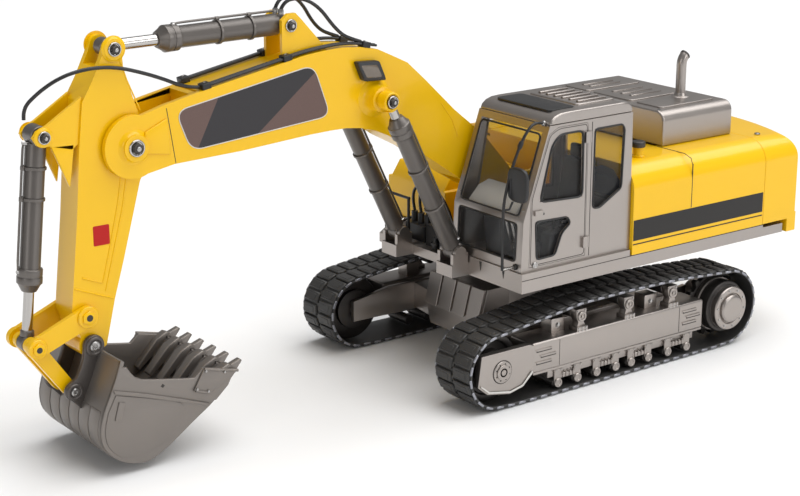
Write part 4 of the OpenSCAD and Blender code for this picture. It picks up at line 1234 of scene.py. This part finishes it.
def rod(base, pin, y, back, radius, eye_r, eye_half, hole_r, eye_finish=GUNMETAL, neck_length=3.4):
    """Chrome rod with its eye and a neck between the two."""
    line = direction(base, pin)
    end = at(pin[0], y, pin[1])
    shaft = turned(end - line * back * MM, line, [(0, radius - 0.3), (0.3, radius), (back - eye_r, radius)],
                   40)
    neck = turned(end - line * (eye_r + neck_length) * MM, line, [(0, radius), (0.6, radius + 0.9),
            (neck_length + 0.6, radius + 1.1)], 36, 0.1)
    head = turned(end - ACROSS * eye_half * MM, ACROSS, [
        (0, hole_r), (0, eye_r - 0.5), (0.5, eye_r), (2 * eye_half - 0.5, eye_r), (2 * eye_half, eye_r - 0.5),
        (2 * eye_half, hole_r)], 40)
    cut(head, turned(end - ACROSS * 20 * MM, ACROSS, [(0, hole_r), (40, hole_r)], 40))
    return joined(painted(shaft, CHROME), painted(neck, eye_finish), painted(head, eye_finish))


class EXCAVATOR_OT_cylinders(bpy.types.Operator):
    """Makes the lift, arm and bucket cylinders, each a barrel and a rod"""

    bl_idname = "excavator.cylinders"
    bl_label = "Cylinders"

    def execute(self, context):
        for name, side in SIDES:
            y = side * LIFT_Y
            fit(barrel(LIFT_BASE, LIFT_PIN, y, 114.5, 6.4, 3.4, (5.6, 5.6, 3), (0.34, 0.62)),
                f"lift_barrel_{name}", f"boom_barrel_{name}", f"lift_barrel_{name}_piece")
            fit(rod(LIFT_BASE, LIFT_PIN, y, 112, 3.4, 6.6, 4.6, 5, YELLOW, 0.6), f"lift_rod_{name}",
                f"boom_rod_{name}", f"lift_rod_{name}_piece")
        fit(barrel(SWING_BASE, SWING_PIN, 0, 94, 7.2, 3.8, (6, 6, 2.6), (0.26, 0.52)), "swing_barrel",
            "arm_barrel", "swing_barrel_piece")
        fit(rod(SWING_BASE, SWING_PIN, 0, 91, 3.8, 5.6, 4.6, 3.6), "swing_rod", "arm_rod", "swing_rod_piece")
        fit(barrel(CURL_BASE, ROCKER_PIN, 0, 98, 6.6, 3.4, (6.4, 6.4, 3), (0.2, 0.4)), "curl_barrel",
            "bucket_barrel", "curl_barrel_piece")
        fit(rod(CURL_BASE, ROCKER_PIN, 0, 87, 3.4, 5.4, 4, 3.2), "curl_rod", "bucket_rod", "curl_rod_piece")
        return {"FINISHED"}


# ---------------------------------------------------------------- boom and arm


def boom_decal_plate():
    corners = [(314, 224), (208, 242), (195, 206), (303.5, 197)]
    outline = rounded(corners, 9, 8)
    panel = painted(plate(outline, BOOM_HALF - 0.2, BOOM_HALF + 0.3, 0.1, 1), "boom_decal")
    rim = painted(bead(outline, BOOM_HALF + 0.15, 0.35), PALE)
    return Pieces([panel, rim])


def boom_piece():
    shell = skin("boom", 0.9, 3)
    parts = boom_decal_plate()
    for side in (-1, 1):
        out = ACROSS * side
        flare = turned(at(LIFT_PIN[0], side * (BOOM_HALF - 0.4), LIFT_PIN[1]), out, [
            (0, 14), (0.5, 13.4), (1.2, 11.6), (2.4, 10.2), (5, 9.2), (10.6, 8.8), (11, 8.2)], 48)
        parts.add(YELLOW, flare)
        boss = turned(at(ARM_PIVOT[0], side * (BOOM_HALF - 0.3), ARM_PIVOT[1]), out, [
            (0, 12.0), (0.4, 11.2), (1.0, 9.6), (2.2, 8.6), (3.2, 8.2), (3.5, 7.8)], 48, 0.15)
        parts.add(YELLOW, boss)
    for sign in (1, -1):
        y = sign * BOOM_HALF
        wedge = plate([(337, 213.6), (321, 220.5), (319, 197), (338, 200)], y - 0.1 * sign, y + 1.3 * sign,
                      0.6, 3)
        parts.add(YELLOW, wedge)
        parts.add(SHADOW, bead([(320.5, 227), (315, 190.6)], y, 0.25, False))
        parts.add(YELLOW, bead([(100, 203), (90, 190), (84, 176)], y, 0.35, False))
    parts += [mirrored(piece) for piece in parts[:2]]
    return joined(shell, *parts)


def lamp_piece():
    y0, y1 = BOOM_HALF + 0.6, BOOM_HALF + 6.0
    body_outline = rounded([(176, 241), (157, 240), (151, 226), (170, 227)], 2)
    housing = plate(body_outline, y0, y1 - 1.2, 0.7, 3)
    rim = plate(rounded([(175.4, 240.4), (157.6, 239.4), (152, 226.6), (169.6, 227.6)], 2), y1 - 1.6,
                y1 - 0.4, 0.3)
    lens = plate(rounded([(173, 238.4), (159.6, 237.6), (155.2, 228.6), (168.2, 229.4)], 1.4), y1 - 0.9,
                 y1 - 0.2, 0.2)
    foot = box((160, BOOM_HALF - 0.3, 230), (168, BOOM_HALF + 1.2, 236), 0.4)
    return joined(painted(housing, BLACK), painted(rim, TRIM), painted(lens, "lamp_lens"),
                  painted(foot, BLACK))


def boom_pipes():
    route = [(287, 237.9), (265, 242), (234, 247.5), (215, 251), (200, 252.6), (185, 253.4), (170, 252.4),
             (155, 249.4)]
    parts = Pieces()
    for side in (-1, 1):
        for shift, radius in ((0, 1.15), (2.3, 0.9)):
            y = side * (12.6 + shift)
            parts.add(BLACK, tube([at(x, y, z) for x, z in route], radius, False, True))
        loop = [(224.5, 3.4, 279), (222, 3.8, 284), (214, 5.4, 286), (205, 8, 283.6), (197, 10.6, 277),
                (190, 12.4, 267), (182, 13.2, 259), (174, 13.4, 255.4), (167, 13.4, 253)]
        parts.add(HOSE, tube([at(x, side * y, z) for x, y, z in loop], 1.25, False, True))
        parts.add(PIN, turned(at(224.5, side * 3.4, 276), UP, [(0, 1.9), (2.6, 1.9), (3.4, 1.5)], 6))
        for x, z, tilt in ((290.3, 237.3, 10.4), (164, 250.8, -11.3), (228, 248.7, 10)):
            block = box((-3.2, -3.4, -2.0), (3.2, 3.4, 2.0), 0.5, 3)
            block.data.transform(Matrix.Translation(-at(0, 0, 0)))
            turn = Matrix.Rotation(math.radians(tilt), 4, "Y")
            block.data.transform(Matrix.Translation(at(x, side * 13.4, z)) @ turn)
            parts.add(BLACK, block)
            parts.add(PIN, hex_bolt(at(x, side * 13.4, z + 1.9), UP, 0.9, 0.8))
    return joined(*parts)


def pin_set(places):
    """Bolted pin ends, each (x, z), y of its face and radius: a bright washer under a dark six-sided head."""
    parts = Pieces()
    for (x, z), y, radius in places:
        out = ACROSS if y > 0 else -ACROSS
        washer = turned(at(x, y, z), out, [(-0.05, radius), (0.6, radius), (1.0, radius * 0.94),
                                           (1.0, radius * 0.8), (0.5, radius * 0.76)], 36, 0.1)
        head = turned(at(x, y, z), out, [(0.3, radius * 0.66), (2.3, radius * 0.66), (2.9, radius * 0.56)], 6,
                      0.15)
        tip = turned(at(x, y, z), out, [(2.4, radius * 0.3), (3.3, radius * 0.28), (3.5, radius * 0.2)], 20)
        parts.add(CHROME, washer).add(DARK, head).add(PIN, tip)
    return parts


def pin_shafts(places, finish=PIN):
    """Plain shafts right across, each (x, z), radius and half length."""
    return Pieces().add(finish, *(bar(place, radius, -half, half) for place, radius, half in places))


ARM_HOSE = [(294.2, 12.9, 236.7), (302, 13.2, 238), (311, 14, 241), (320, 14.8, 245), (330, 15.2, 249),
            (340, 15.4, 252.5), (349, 15.4, 255.2), (358, 15.2, 257), (367, 14.6, 257.6), (376, 13.4, 257),
            (385, 11.6, 255), (393, 9.2, 251.5), (399.5, 6.4, 247), (404.8, 3.4, 242), (408.4, 1.2, 237.5),
            (410, 0, 233), (410.5, 0, 228.2)]


HOSE_DIAMETER = 0.0024


def hose(name, points, node):
    """A rubber hose along given points; its length is the length of its line."""
    diameter = HOSE_DIAMETER
    piece = painted(tube(points, diameter / 2 / MM, False, False, 4), HOSE)
    name_piece(piece, name)
    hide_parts(node)
    length = sum((b - a).length for a, b in zip(points, points[1:]))
    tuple(points[0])
    return piece


def smooth_line(points, steps=4):
    """Points of a Catmull-Rom curve through the given ones."""
    line = []
    for i in range(len(points) - 1):
        p0, p1, p2, p3 = (points[max(0, min(len(points) - 1, i + k))] for k in (-1, 0, 1, 2))
        for k in range(steps):
            t = k / steps
            line.append(0.5 * (2 * p1 + (p2 - p0) * t + (2 * p0 - 5 * p1 + 4 * p2 - p3) * t * t
                               + (3 * p1 - p0 - 3 * p2 + p3) * t ** 3))
    return line + [points[-1]]


class EXCAVATOR_OT_hoses(bpy.types.Operator):
    """Lays the hose over the arm and the three hoses in the platform bay"""

    bl_idname = "excavator.hoses"
    bl_label = "Hoses"

    def execute(self, context):
        route = smooth_line([at(*p) for p in ARM_HOSE])
        arm_hose = hose("arm_hose_piece", route, "arm_hose")
        at(312, 0, 240)
        at(392, 0, 240)
        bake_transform(arm_hose)
        stud_x, stud_z, rise, step = 78, 108.4, 22, 8
        near_y, far_y = -13, -42
        for i in range(3):
            turns = [math.pi * k / 24 for k in range(25)]
            arch = [at(stud_x + 6 * math.sin(t), step * i + near_y + (far_y - near_y) * (1 - math.cos(t)) / 2,
                       stud_z + rise * math.sin(t)) for t in turns]
            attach(hose(f"bay_hose_{i + 1}_piece", arch, "bay_hoses"), "house")
        return {"FINISHED"}


class EXCAVATOR_OT_boom(bpy.types.Operator):
    """Makes the boom with its panel, bosses, pipes, lamp and pins"""

    bl_idname = "excavator.boom"
    bl_label = "Boom"

    def execute(self, context):
        fit(boom_piece(), "main_boom", "boom")
        fit(boom_pipes(), "main_boom", "boom_pipes")
        fit(lamp_piece(), "main_boom", "work_lamp")
        ends = [(ARM_PIVOT, s * 20, 5.6) for s in (-1, 1)] + [(LIFT_PIN, s * 37.8, 4.4) for s in (-1, 1)]
        ends += [(SWING_BASE, s * 11.4, 4.4) for s in (-1, 1)]
        pins = joined(*pin_shafts([(ARM_PIVOT, 4.8, 20.4), (LIFT_PIN, 2.9, 38.2), (SWING_BASE, 2.5, 11.6)]),
                      *pin_set(ends))
        fit(pins, "main_boom", "boom_pins")
        return {"FINISHED"}


# Welded beads on the arm's sides, each a line of (x, z) and its radius
ARM_BEADS = (([(347.5, 190), (352, 166), (360, 137), (366.5, 113.5)], 0.55),
             ([(350.5, 264), (345, 247), (336.5, 227)], 0.5), ([(351.4, 190), (355.4, 168), (363, 138),
        (368.5, 119), (382.5, 125)], 0.6), ([(361.6, 107.8), (388, 118.7)], 0.6))


def arm_piece():
    shell = skin("arm", 0.8, 3)
    parts = Pieces()
    for side in (-1, 1):
        y = side * ARM_HALF
        gusset = plate([(382.4, 211), (398, 211.6), (386.6, 184)], side * 7.4, side * 10, 0.5)
        parts.add(YELLOW, gusset)
        for line, radius in ARM_BEADS:
            parts.add(YELLOW, bead(line, y, radius, False))
        label = plate(rounded([(362, 157), (373.4, 157), (373.4, 144), (362, 144)], 1), y - side * 0.2,
                      y + side * 0.25, 0.1, 1)
        parts.add("red_label", label)
        out = ACROSS * side
        boss = turned(at(SWING_PIN[0], y - side * 0.2, SWING_PIN[1]), out,
                      [(0, 8.4), (0.8, 8.2), (1.4, 7), (1.9, 6.6)], 40)
        parts.add(YELLOW, boss)
        lug = turned(at(CURL_BASE[0], side * 9.8, CURL_BASE[1]), out, [(0, 6.4), (1.0, 6.2), (1.4, 5.4)], 32)
        parts.add(YELLOW, lug)
    return joined(shell, *parts)


class EXCAVATOR_OT_arm(bpy.types.Operator):
    """Makes the arm with its ribs and label, its pins, the rocker links and the push link"""

    bl_idname = "excavator.arm"
    bl_label = "Arm"

    def execute(self, context):
        fit(arm_piece(), "dipper_arm", "arm")
        ends = [(SWING_PIN, s * 13.2, 4.6) for s in (-1, 1)] + [(CURL_BASE, s * 11.3, 4.2) for s in (-1, 1)]
        stubs = [painted(bar(SWING_PIN, 3.4, *sorted((s * 5.2, s * 13.4))), PIN) for s in (-1, 1)]
        pins = joined(*stubs, *pin_shafts([(CURL_BASE, 2.9, 11.5), (ROCKER_PIVOT, 3.9, 15)]), *pin_set(ends))
        fit(pins, "dipper_arm", "arm_pins")
        rocker = skin("rocker_links", 0.7, 3)
        bosses = Pieces()
        for side in (-1, 1):
            out = ACROSS * side
            for (x, z), radius in ((ROCKER_PIVOT, 7.2), (ROCKER_PIN, 6.4)):
                rim = turned(at(x, side * 15.4, z), out, [(0, radius), (1.2, radius), (1.7, radius - 0.5)],
                             36)
                bosses.add(YELLOW, rim)
                bosses += hex_nut(at(x, side * 17, z), out, radius * 0.66, 1.5, YELLOW)
        fit(joined(rocker, *bosses), "rocker", "rocker_links")
        fit_skins("link", ("push_link", 0.5, 2))
        return {"FINISHED"}


# ---------------------------------------------------------------- bucket


BACK_LINE = [(375, 77), (379, 66), (382.8, 57), (388.2, 45), (391, 33), (389, 21.5), (380.4, 11.8),
             (370, 6.8), (357, 5.6), (343, 12.2), (325, 24.2), (307.5, 35.9), (291, 52)]
SIDE_TOP = [(290, 53.2), (316, 59.6), (322.5, 54), (332.4, 55.8), (347.1, 58.6), (360, 61.4), (365.4, 64.2),
            (368.4, 68), (371, 72), (374.4, 72.6)]


def smooth_outline(points, steps=4):
    return [(p.x, p.y) for p in smooth_line([Vector(p) for p in points], steps)]


def offset_line(points, distance):
    """The same open line moved sideways, to the left of its travel."""
    moved = []
    for i, p in enumerate(points):
        run = Vector(points[min(i + 1, len(points) - 1)]) - Vector(points[max(i - 1, 0)])
        moved.append(tuple(Vector(p) + Vector((-run.y, run.x)).normalized() * distance))
    return moved


def wear_strip(y, half):
    """A flat strip with eased ends that follows the back of the bucket."""
    line = smooth_outline(BACK_LINE[3:11])
    outer = offset_line(line, 0.5)
    return painted(plate(outer + offset_line(line, -0.6)[::-1], y - half, y + half, 0.3, 2), BUCKET)


def tooth(y):
    """An adaptor clamped over the lip with a long wedge tip between two cheeks."""
    tip = plate([(285.2, 57.8), (286.6, 59.2), (298, 55.4), (301.6, 50.6), (297.6, 46), (291, 50.6)], y - 2.2,
                y + 2.2, 0.5, 2)
    upper = plate([(293.4, 56.6), (297, 58.2), (305, 54.4), (321, 37.6), (319, 34.8), (306, 45)], y - 3.6,
                  y + 3.6, 0.8, 3)
    cheek = plate([(292, 52.4), (296, 54.6), (307.6, 44), (311.4, 36.2), (306.6, 35), (297, 43.4)], y - 3.6,
                  y + 3.6, 0.8, 3)
    groove = box((296.4, y - 3.9, 53.6), (297.4, y + 3.9, 55.4), 0)
    return [painted(tip, BUCKET), painted(upper, BUCKET), painted(cheek, BUCKET), painted(groove, SHADOW)]


def ear(side):
    """Lug plate with a round boss at each pin and a hollowed front edge."""
    outline = arc(BUCKET_PIVOT, 7.2, -8, 205, 14) + [(374.6, 70), (378.4, 61), (382.6, 52), (385.4, 42),
                                                     (389.4, 39.4)]
    outline += arc(LINK_PIN, 6.2, -70, 60, 10) + [(391.8, 61), (388.6, 67), (386.4, 73)]
    lug = plate(outline, side * 12.4, side * 16, 0.8, 3)
    parts = Pieces().add("ear_grey", lug)
    for (x, z), radius in ((BUCKET_PIVOT, 6.4), (LINK_PIN, 5.6)):
        boss = turned(at(x, side * 15.4, z), ACROSS * side, [(0, radius), (1.6, radius), (2.2, radius - 0.6),
                (2.2, radius - 1.8), (1.2, radius - 2.2)], 36, 0.15)
        parts.add("ear_grey", boss)
    return parts


def bucket_shell():
    half = BUCKET_HALF
    back = smooth_outline(BACK_LINE)
    shell = plate(back + offset_line(back, -3.0)[::-1], -half + 0.4, half - 0.4, 0.5, 2)
    parts = Pieces().add(BUCKET, shell)
    strips, width = 6, 13.4
    for i in range(strips):
        parts.append(wear_strip((i - (strips - 1) / 2) * width, width / 2 - 0.7))
    rib = plate([(379.4, 64), (387.4, 46.4), (383.4, 46), (376, 62)], -30, 30, 0.6)
    parts.add(BUCKET, rib)
    for side in (-1, 1):
        face = side * half
        cheek = plate(back + SIDE_TOP, side * (half - 2.6), face, 0.6, 3)
        beam = plate([(381.6, 59.4), (359, 52.2), (332.9, 42.7), (311.4, 34.4), (313.4, 33.2), (333.2, 40.2),
                      (359.3, 49.4), (380.6, 56.4)], face - side * 0.3, face + side * 1.3, 0.5, 2)
        swell = [(380, 55.4), (362, 50), (347.7, 45.3), (337.4, 41.8), (332.5, 38.8), (331, 34.3),
                 (333.5, 27.3), (339.8, 19.9), (348.9, 15), (359.4, 12.7), (369.6, 11.2), (378, 13),
                 (386.4, 22), (388.4, 33), (385.6, 45)]
        panel = plate(smooth_outline(swell, 3), face - side * 0.3, face + side * 0.7, 0.5, 2)
        badge = plate([(378.3, 51), (373.9, 49.6), (377.4, 37.6), (381.8, 39)], face + side * 0.4,
                      face + side * 1.7, 0.5, 2)
        cutter = plate([(316, 59.8), (289.8, 53.2), (302.5, 46.6), (312.6, 41.6), (324, 46)],
                       face - side * 0.2, face + side * 1.5, 0.5, 2)
        lip = tube([at(316, face + side * 1.4, 59.2), at(290.6, face + side * 1.4, 53)], 1.0)
        foot = tube([at(323, face + side * 1.4, 46), at(312.8, face + side * 1.4, 42.2)], 1.0)
        hole = turned(at(346.1, face - side * 0.2, 54.2), ACROSS * side, [(0, 1.5), (0.4, 1.4)], 4)
        for piece in (cheek, beam, panel, badge, cutter, lip, foot):
            parts.add(BUCKET, piece)
        parts.add(SHADOW, hole)
        for x, z in ((315, 57.8), (301, 54.2), (322, 46.8), (313.6, 43.6)):
            stud = turned(at(x, face + side * 1.4, z), ACROSS * side, [(0, 0.9), (1.0, 0.9), (1.2, 0.6)], 6)
            parts.add(PIN, stud)
        parts += ear(side)
    return joined(*parts)


def bucket_ear_caps():
    parts = pin_shafts([(BUCKET_PIVOT, 3.9, 16.4), (LINK_PIN, 2.9, 16.4)], DARK)
    for place, radius in ((BUCKET_PIVOT, 3.4), (LINK_PIN, 2.7)):
        for side in (-1, 1):
            parts.add(PIN, cap_screw(at(place[0], side * 16.2, place[1]), ACROSS * side, radius, 1.2))
    return parts


class EXCAVATOR_OT_bucket(bpy.types.Operator):
    """Makes the bucket with its ribs, strips, cutters, teeth and pins"""

    bl_idname = "excavator.bucket"
    bl_label = "Bucket"

    def execute(self, context):
        fit(bucket_shell(), "digging_bucket", "bucket")
        low, high = reach("bucket_teeth")
        count = 6
        first = low[1] + 3.6
        pitch = (high[1] - low[1] - 7.2) / (count - 1)
        teeth = Pieces()
        for i in range(count):
            teeth += tooth(first + pitch * i)
        fit(joined(*teeth), "digging_bucket", "bucket_teeth")
        fit(joined(*bucket_ear_caps()), "digging_bucket", "bucket_pins")
        return {"FINISHED"}


# ---------------------------------------------------------------- stage


CAMERA_PLACE = (0.76657, 0.99683, 0.46240)
CAMERA_TURN = (73.64, 0.0, 143.08)
CAMERA_LENS = 81
WORLD_STRENGTH = 0.28
CEILING_POWER, CEILING_SPREAD, CEILING_TILT = 3.2, 70, (-6, -16, 0)
# Name, place, the point it faces, width and height, in metres, and power
AREA_LIGHTS = (("key", (-0.9, 2.3, 1.1), (0, 0, 0.12), (1.6, 1.0), 17),
               ("front", (2.2, 0.9, 0.9), (0.1, 0, 0.15), (0.8, 1.0), 6))
FLOOR_DROP = 0.0003


def area_light(name, place, aim_at, size, power):
    light = bpy.data.lights.new(name, "AREA")
    light.shape = "RECTANGLE"
    light.size, light.size_y = size
    light.energy = power
    lamp = bpy.data.objects.new(name, light)
    lamp.location = place
    lamp.rotation_euler = (Vector(aim_at) - Vector(place)).to_track_quat("-Z", "Y").to_euler()
    bpy.context.collection.objects.link(lamp)


class EXCAVATOR_OT_stage(bpy.types.Operator):
    """Sets the pale floor, the soft studio light and the camera"""

    bl_idname = "excavator.stage"
    bl_label = "Stage"

    def execute(self, context):
        clear_selection()
        bpy.ops.mesh.primitive_plane_add(size=12, location=(0, 0, -FLOOR_DROP))
        floor = settle(bpy.context.object)
        floor.name = "floor"
        floor.data.materials.append(paint("floor", (0.86, 0.86, 0.86), 0.55, 0.01, 40, 0.0, 2))
        world = bpy.data.worlds.new("studio")
        context.scene.world = world
        world.use_nodes = True
        sky = world.node_tree.nodes["Background"]
        sky.inputs[0].default_value = (1, 1, 1, 1)
        sky.inputs[1].default_value = WORLD_STRENGTH
        ceiling = bpy.data.lights.new("ceiling", "SUN")
        ceiling.energy = CEILING_POWER
        ceiling.angle = math.radians(CEILING_SPREAD)
        holder = bpy.data.objects.new("ceiling", ceiling)
        holder.rotation_euler = [math.radians(turn) for turn in CEILING_TILT]
        context.collection.objects.link(holder)
        for row in AREA_LIGHTS:
            area_light(*row)
        camera = bpy.data.cameras.new("camera")
        camera.lens = CAMERA_LENS
        camera.sensor_width = 36
        camera.clip_start = 0.05
        holder = bpy.data.objects.new("camera", camera)
        holder.location = CAMERA_PLACE
        holder.rotation_euler = [math.radians(turn) for turn in CAMERA_TURN]
        context.collection.objects.link(holder)
        context.scene.camera = holder
        context.scene.view_settings.view_transform = "Standard"
        return {"FINISHED"}


class EXCAVATOR_OT_finishes(bpy.types.Operator):
    """Makes the materials and puts them on the nodes that stay"""

    bl_idname = "excavator.finishes"
    bl_label = "Finishes"

    def execute(self, context):
        FINISHES.update(make_finishes(context.scene.excavator_look))
        for node, piece in frame["nodes"].items():
            piece.data.materials.clear()
            piece.data.materials.append(FINISHES[NODE_FINISH[node]])
        return {"FINISHED"}


class EXCAVATOR_PT_panel(bpy.types.Panel):
    """Lists the colours, the sizes and the steps that build the excavator"""

    bl_idname = "EXCAVATOR_PT_panel"
    bl_label = "Toy excavator"
    bl_space_type = "VIEW_3D"
    bl_region_type = "UI"
    bl_category = "Excavator"

    def draw(self, context):
        look = context.scene.excavator_look
        for name in ("grey", "yellow", "gunmetal"):
            self.layout.prop(look, name)
        for name in ("pad_pitch", "pad_gap", "edge_round"):
            self.layout.prop(context.scene.excavator_sizes, name)
        for step in STEPS:
            self.layout.operator(step.bl_idname)


STEPS = (EXCAVATOR_OT_finishes, EXCAVATOR_OT_stage, EXCAVATOR_OT_hoses, EXCAVATOR_OT_tracks,
         EXCAVATOR_OT_chassis, EXCAVATOR_OT_platform, EXCAVATOR_OT_house, EXCAVATOR_OT_cab,
         EXCAVATOR_OT_cylinders, EXCAVATOR_OT_boom, EXCAVATOR_OT_arm, EXCAVATOR_OT_bucket)
CLASSES = (ExcavatorLook, ExcavatorSizes, *STEPS, EXCAVATOR_PT_panel)


def register():
    for kind in CLASSES:
        bpy.utils.register_class(kind)
    bpy.types.Scene.excavator_look = bpy.props.PointerProperty(type=ExcavatorLook)
    bpy.types.Scene.excavator_sizes = bpy.props.PointerProperty(type=ExcavatorSizes)


def unregister():
    del bpy.types.Scene.excavator_sizes
    del bpy.types.Scene.excavator_look
    for kind in reversed(CLASSES):
        bpy.utils.unregister_class(kind)


def main():
    register()
    bpy.ops.excavator.finishes()
    bpy.ops.excavator.stage()
    bpy.ops.excavator.hoses()
    bpy.ops.excavator.tracks()
    bpy.ops.excavator.chassis()
    bpy.ops.excavator.platform()
    bpy.ops.excavator.house()
    bpy.ops.excavator.cab()
    bpy.ops.excavator.cylinders()
    bpy.ops.excavator.boom()
    bpy.ops.excavator.arm()
    bpy.ops.excavator.bucket()


if __name__ == "__main__":
    main()
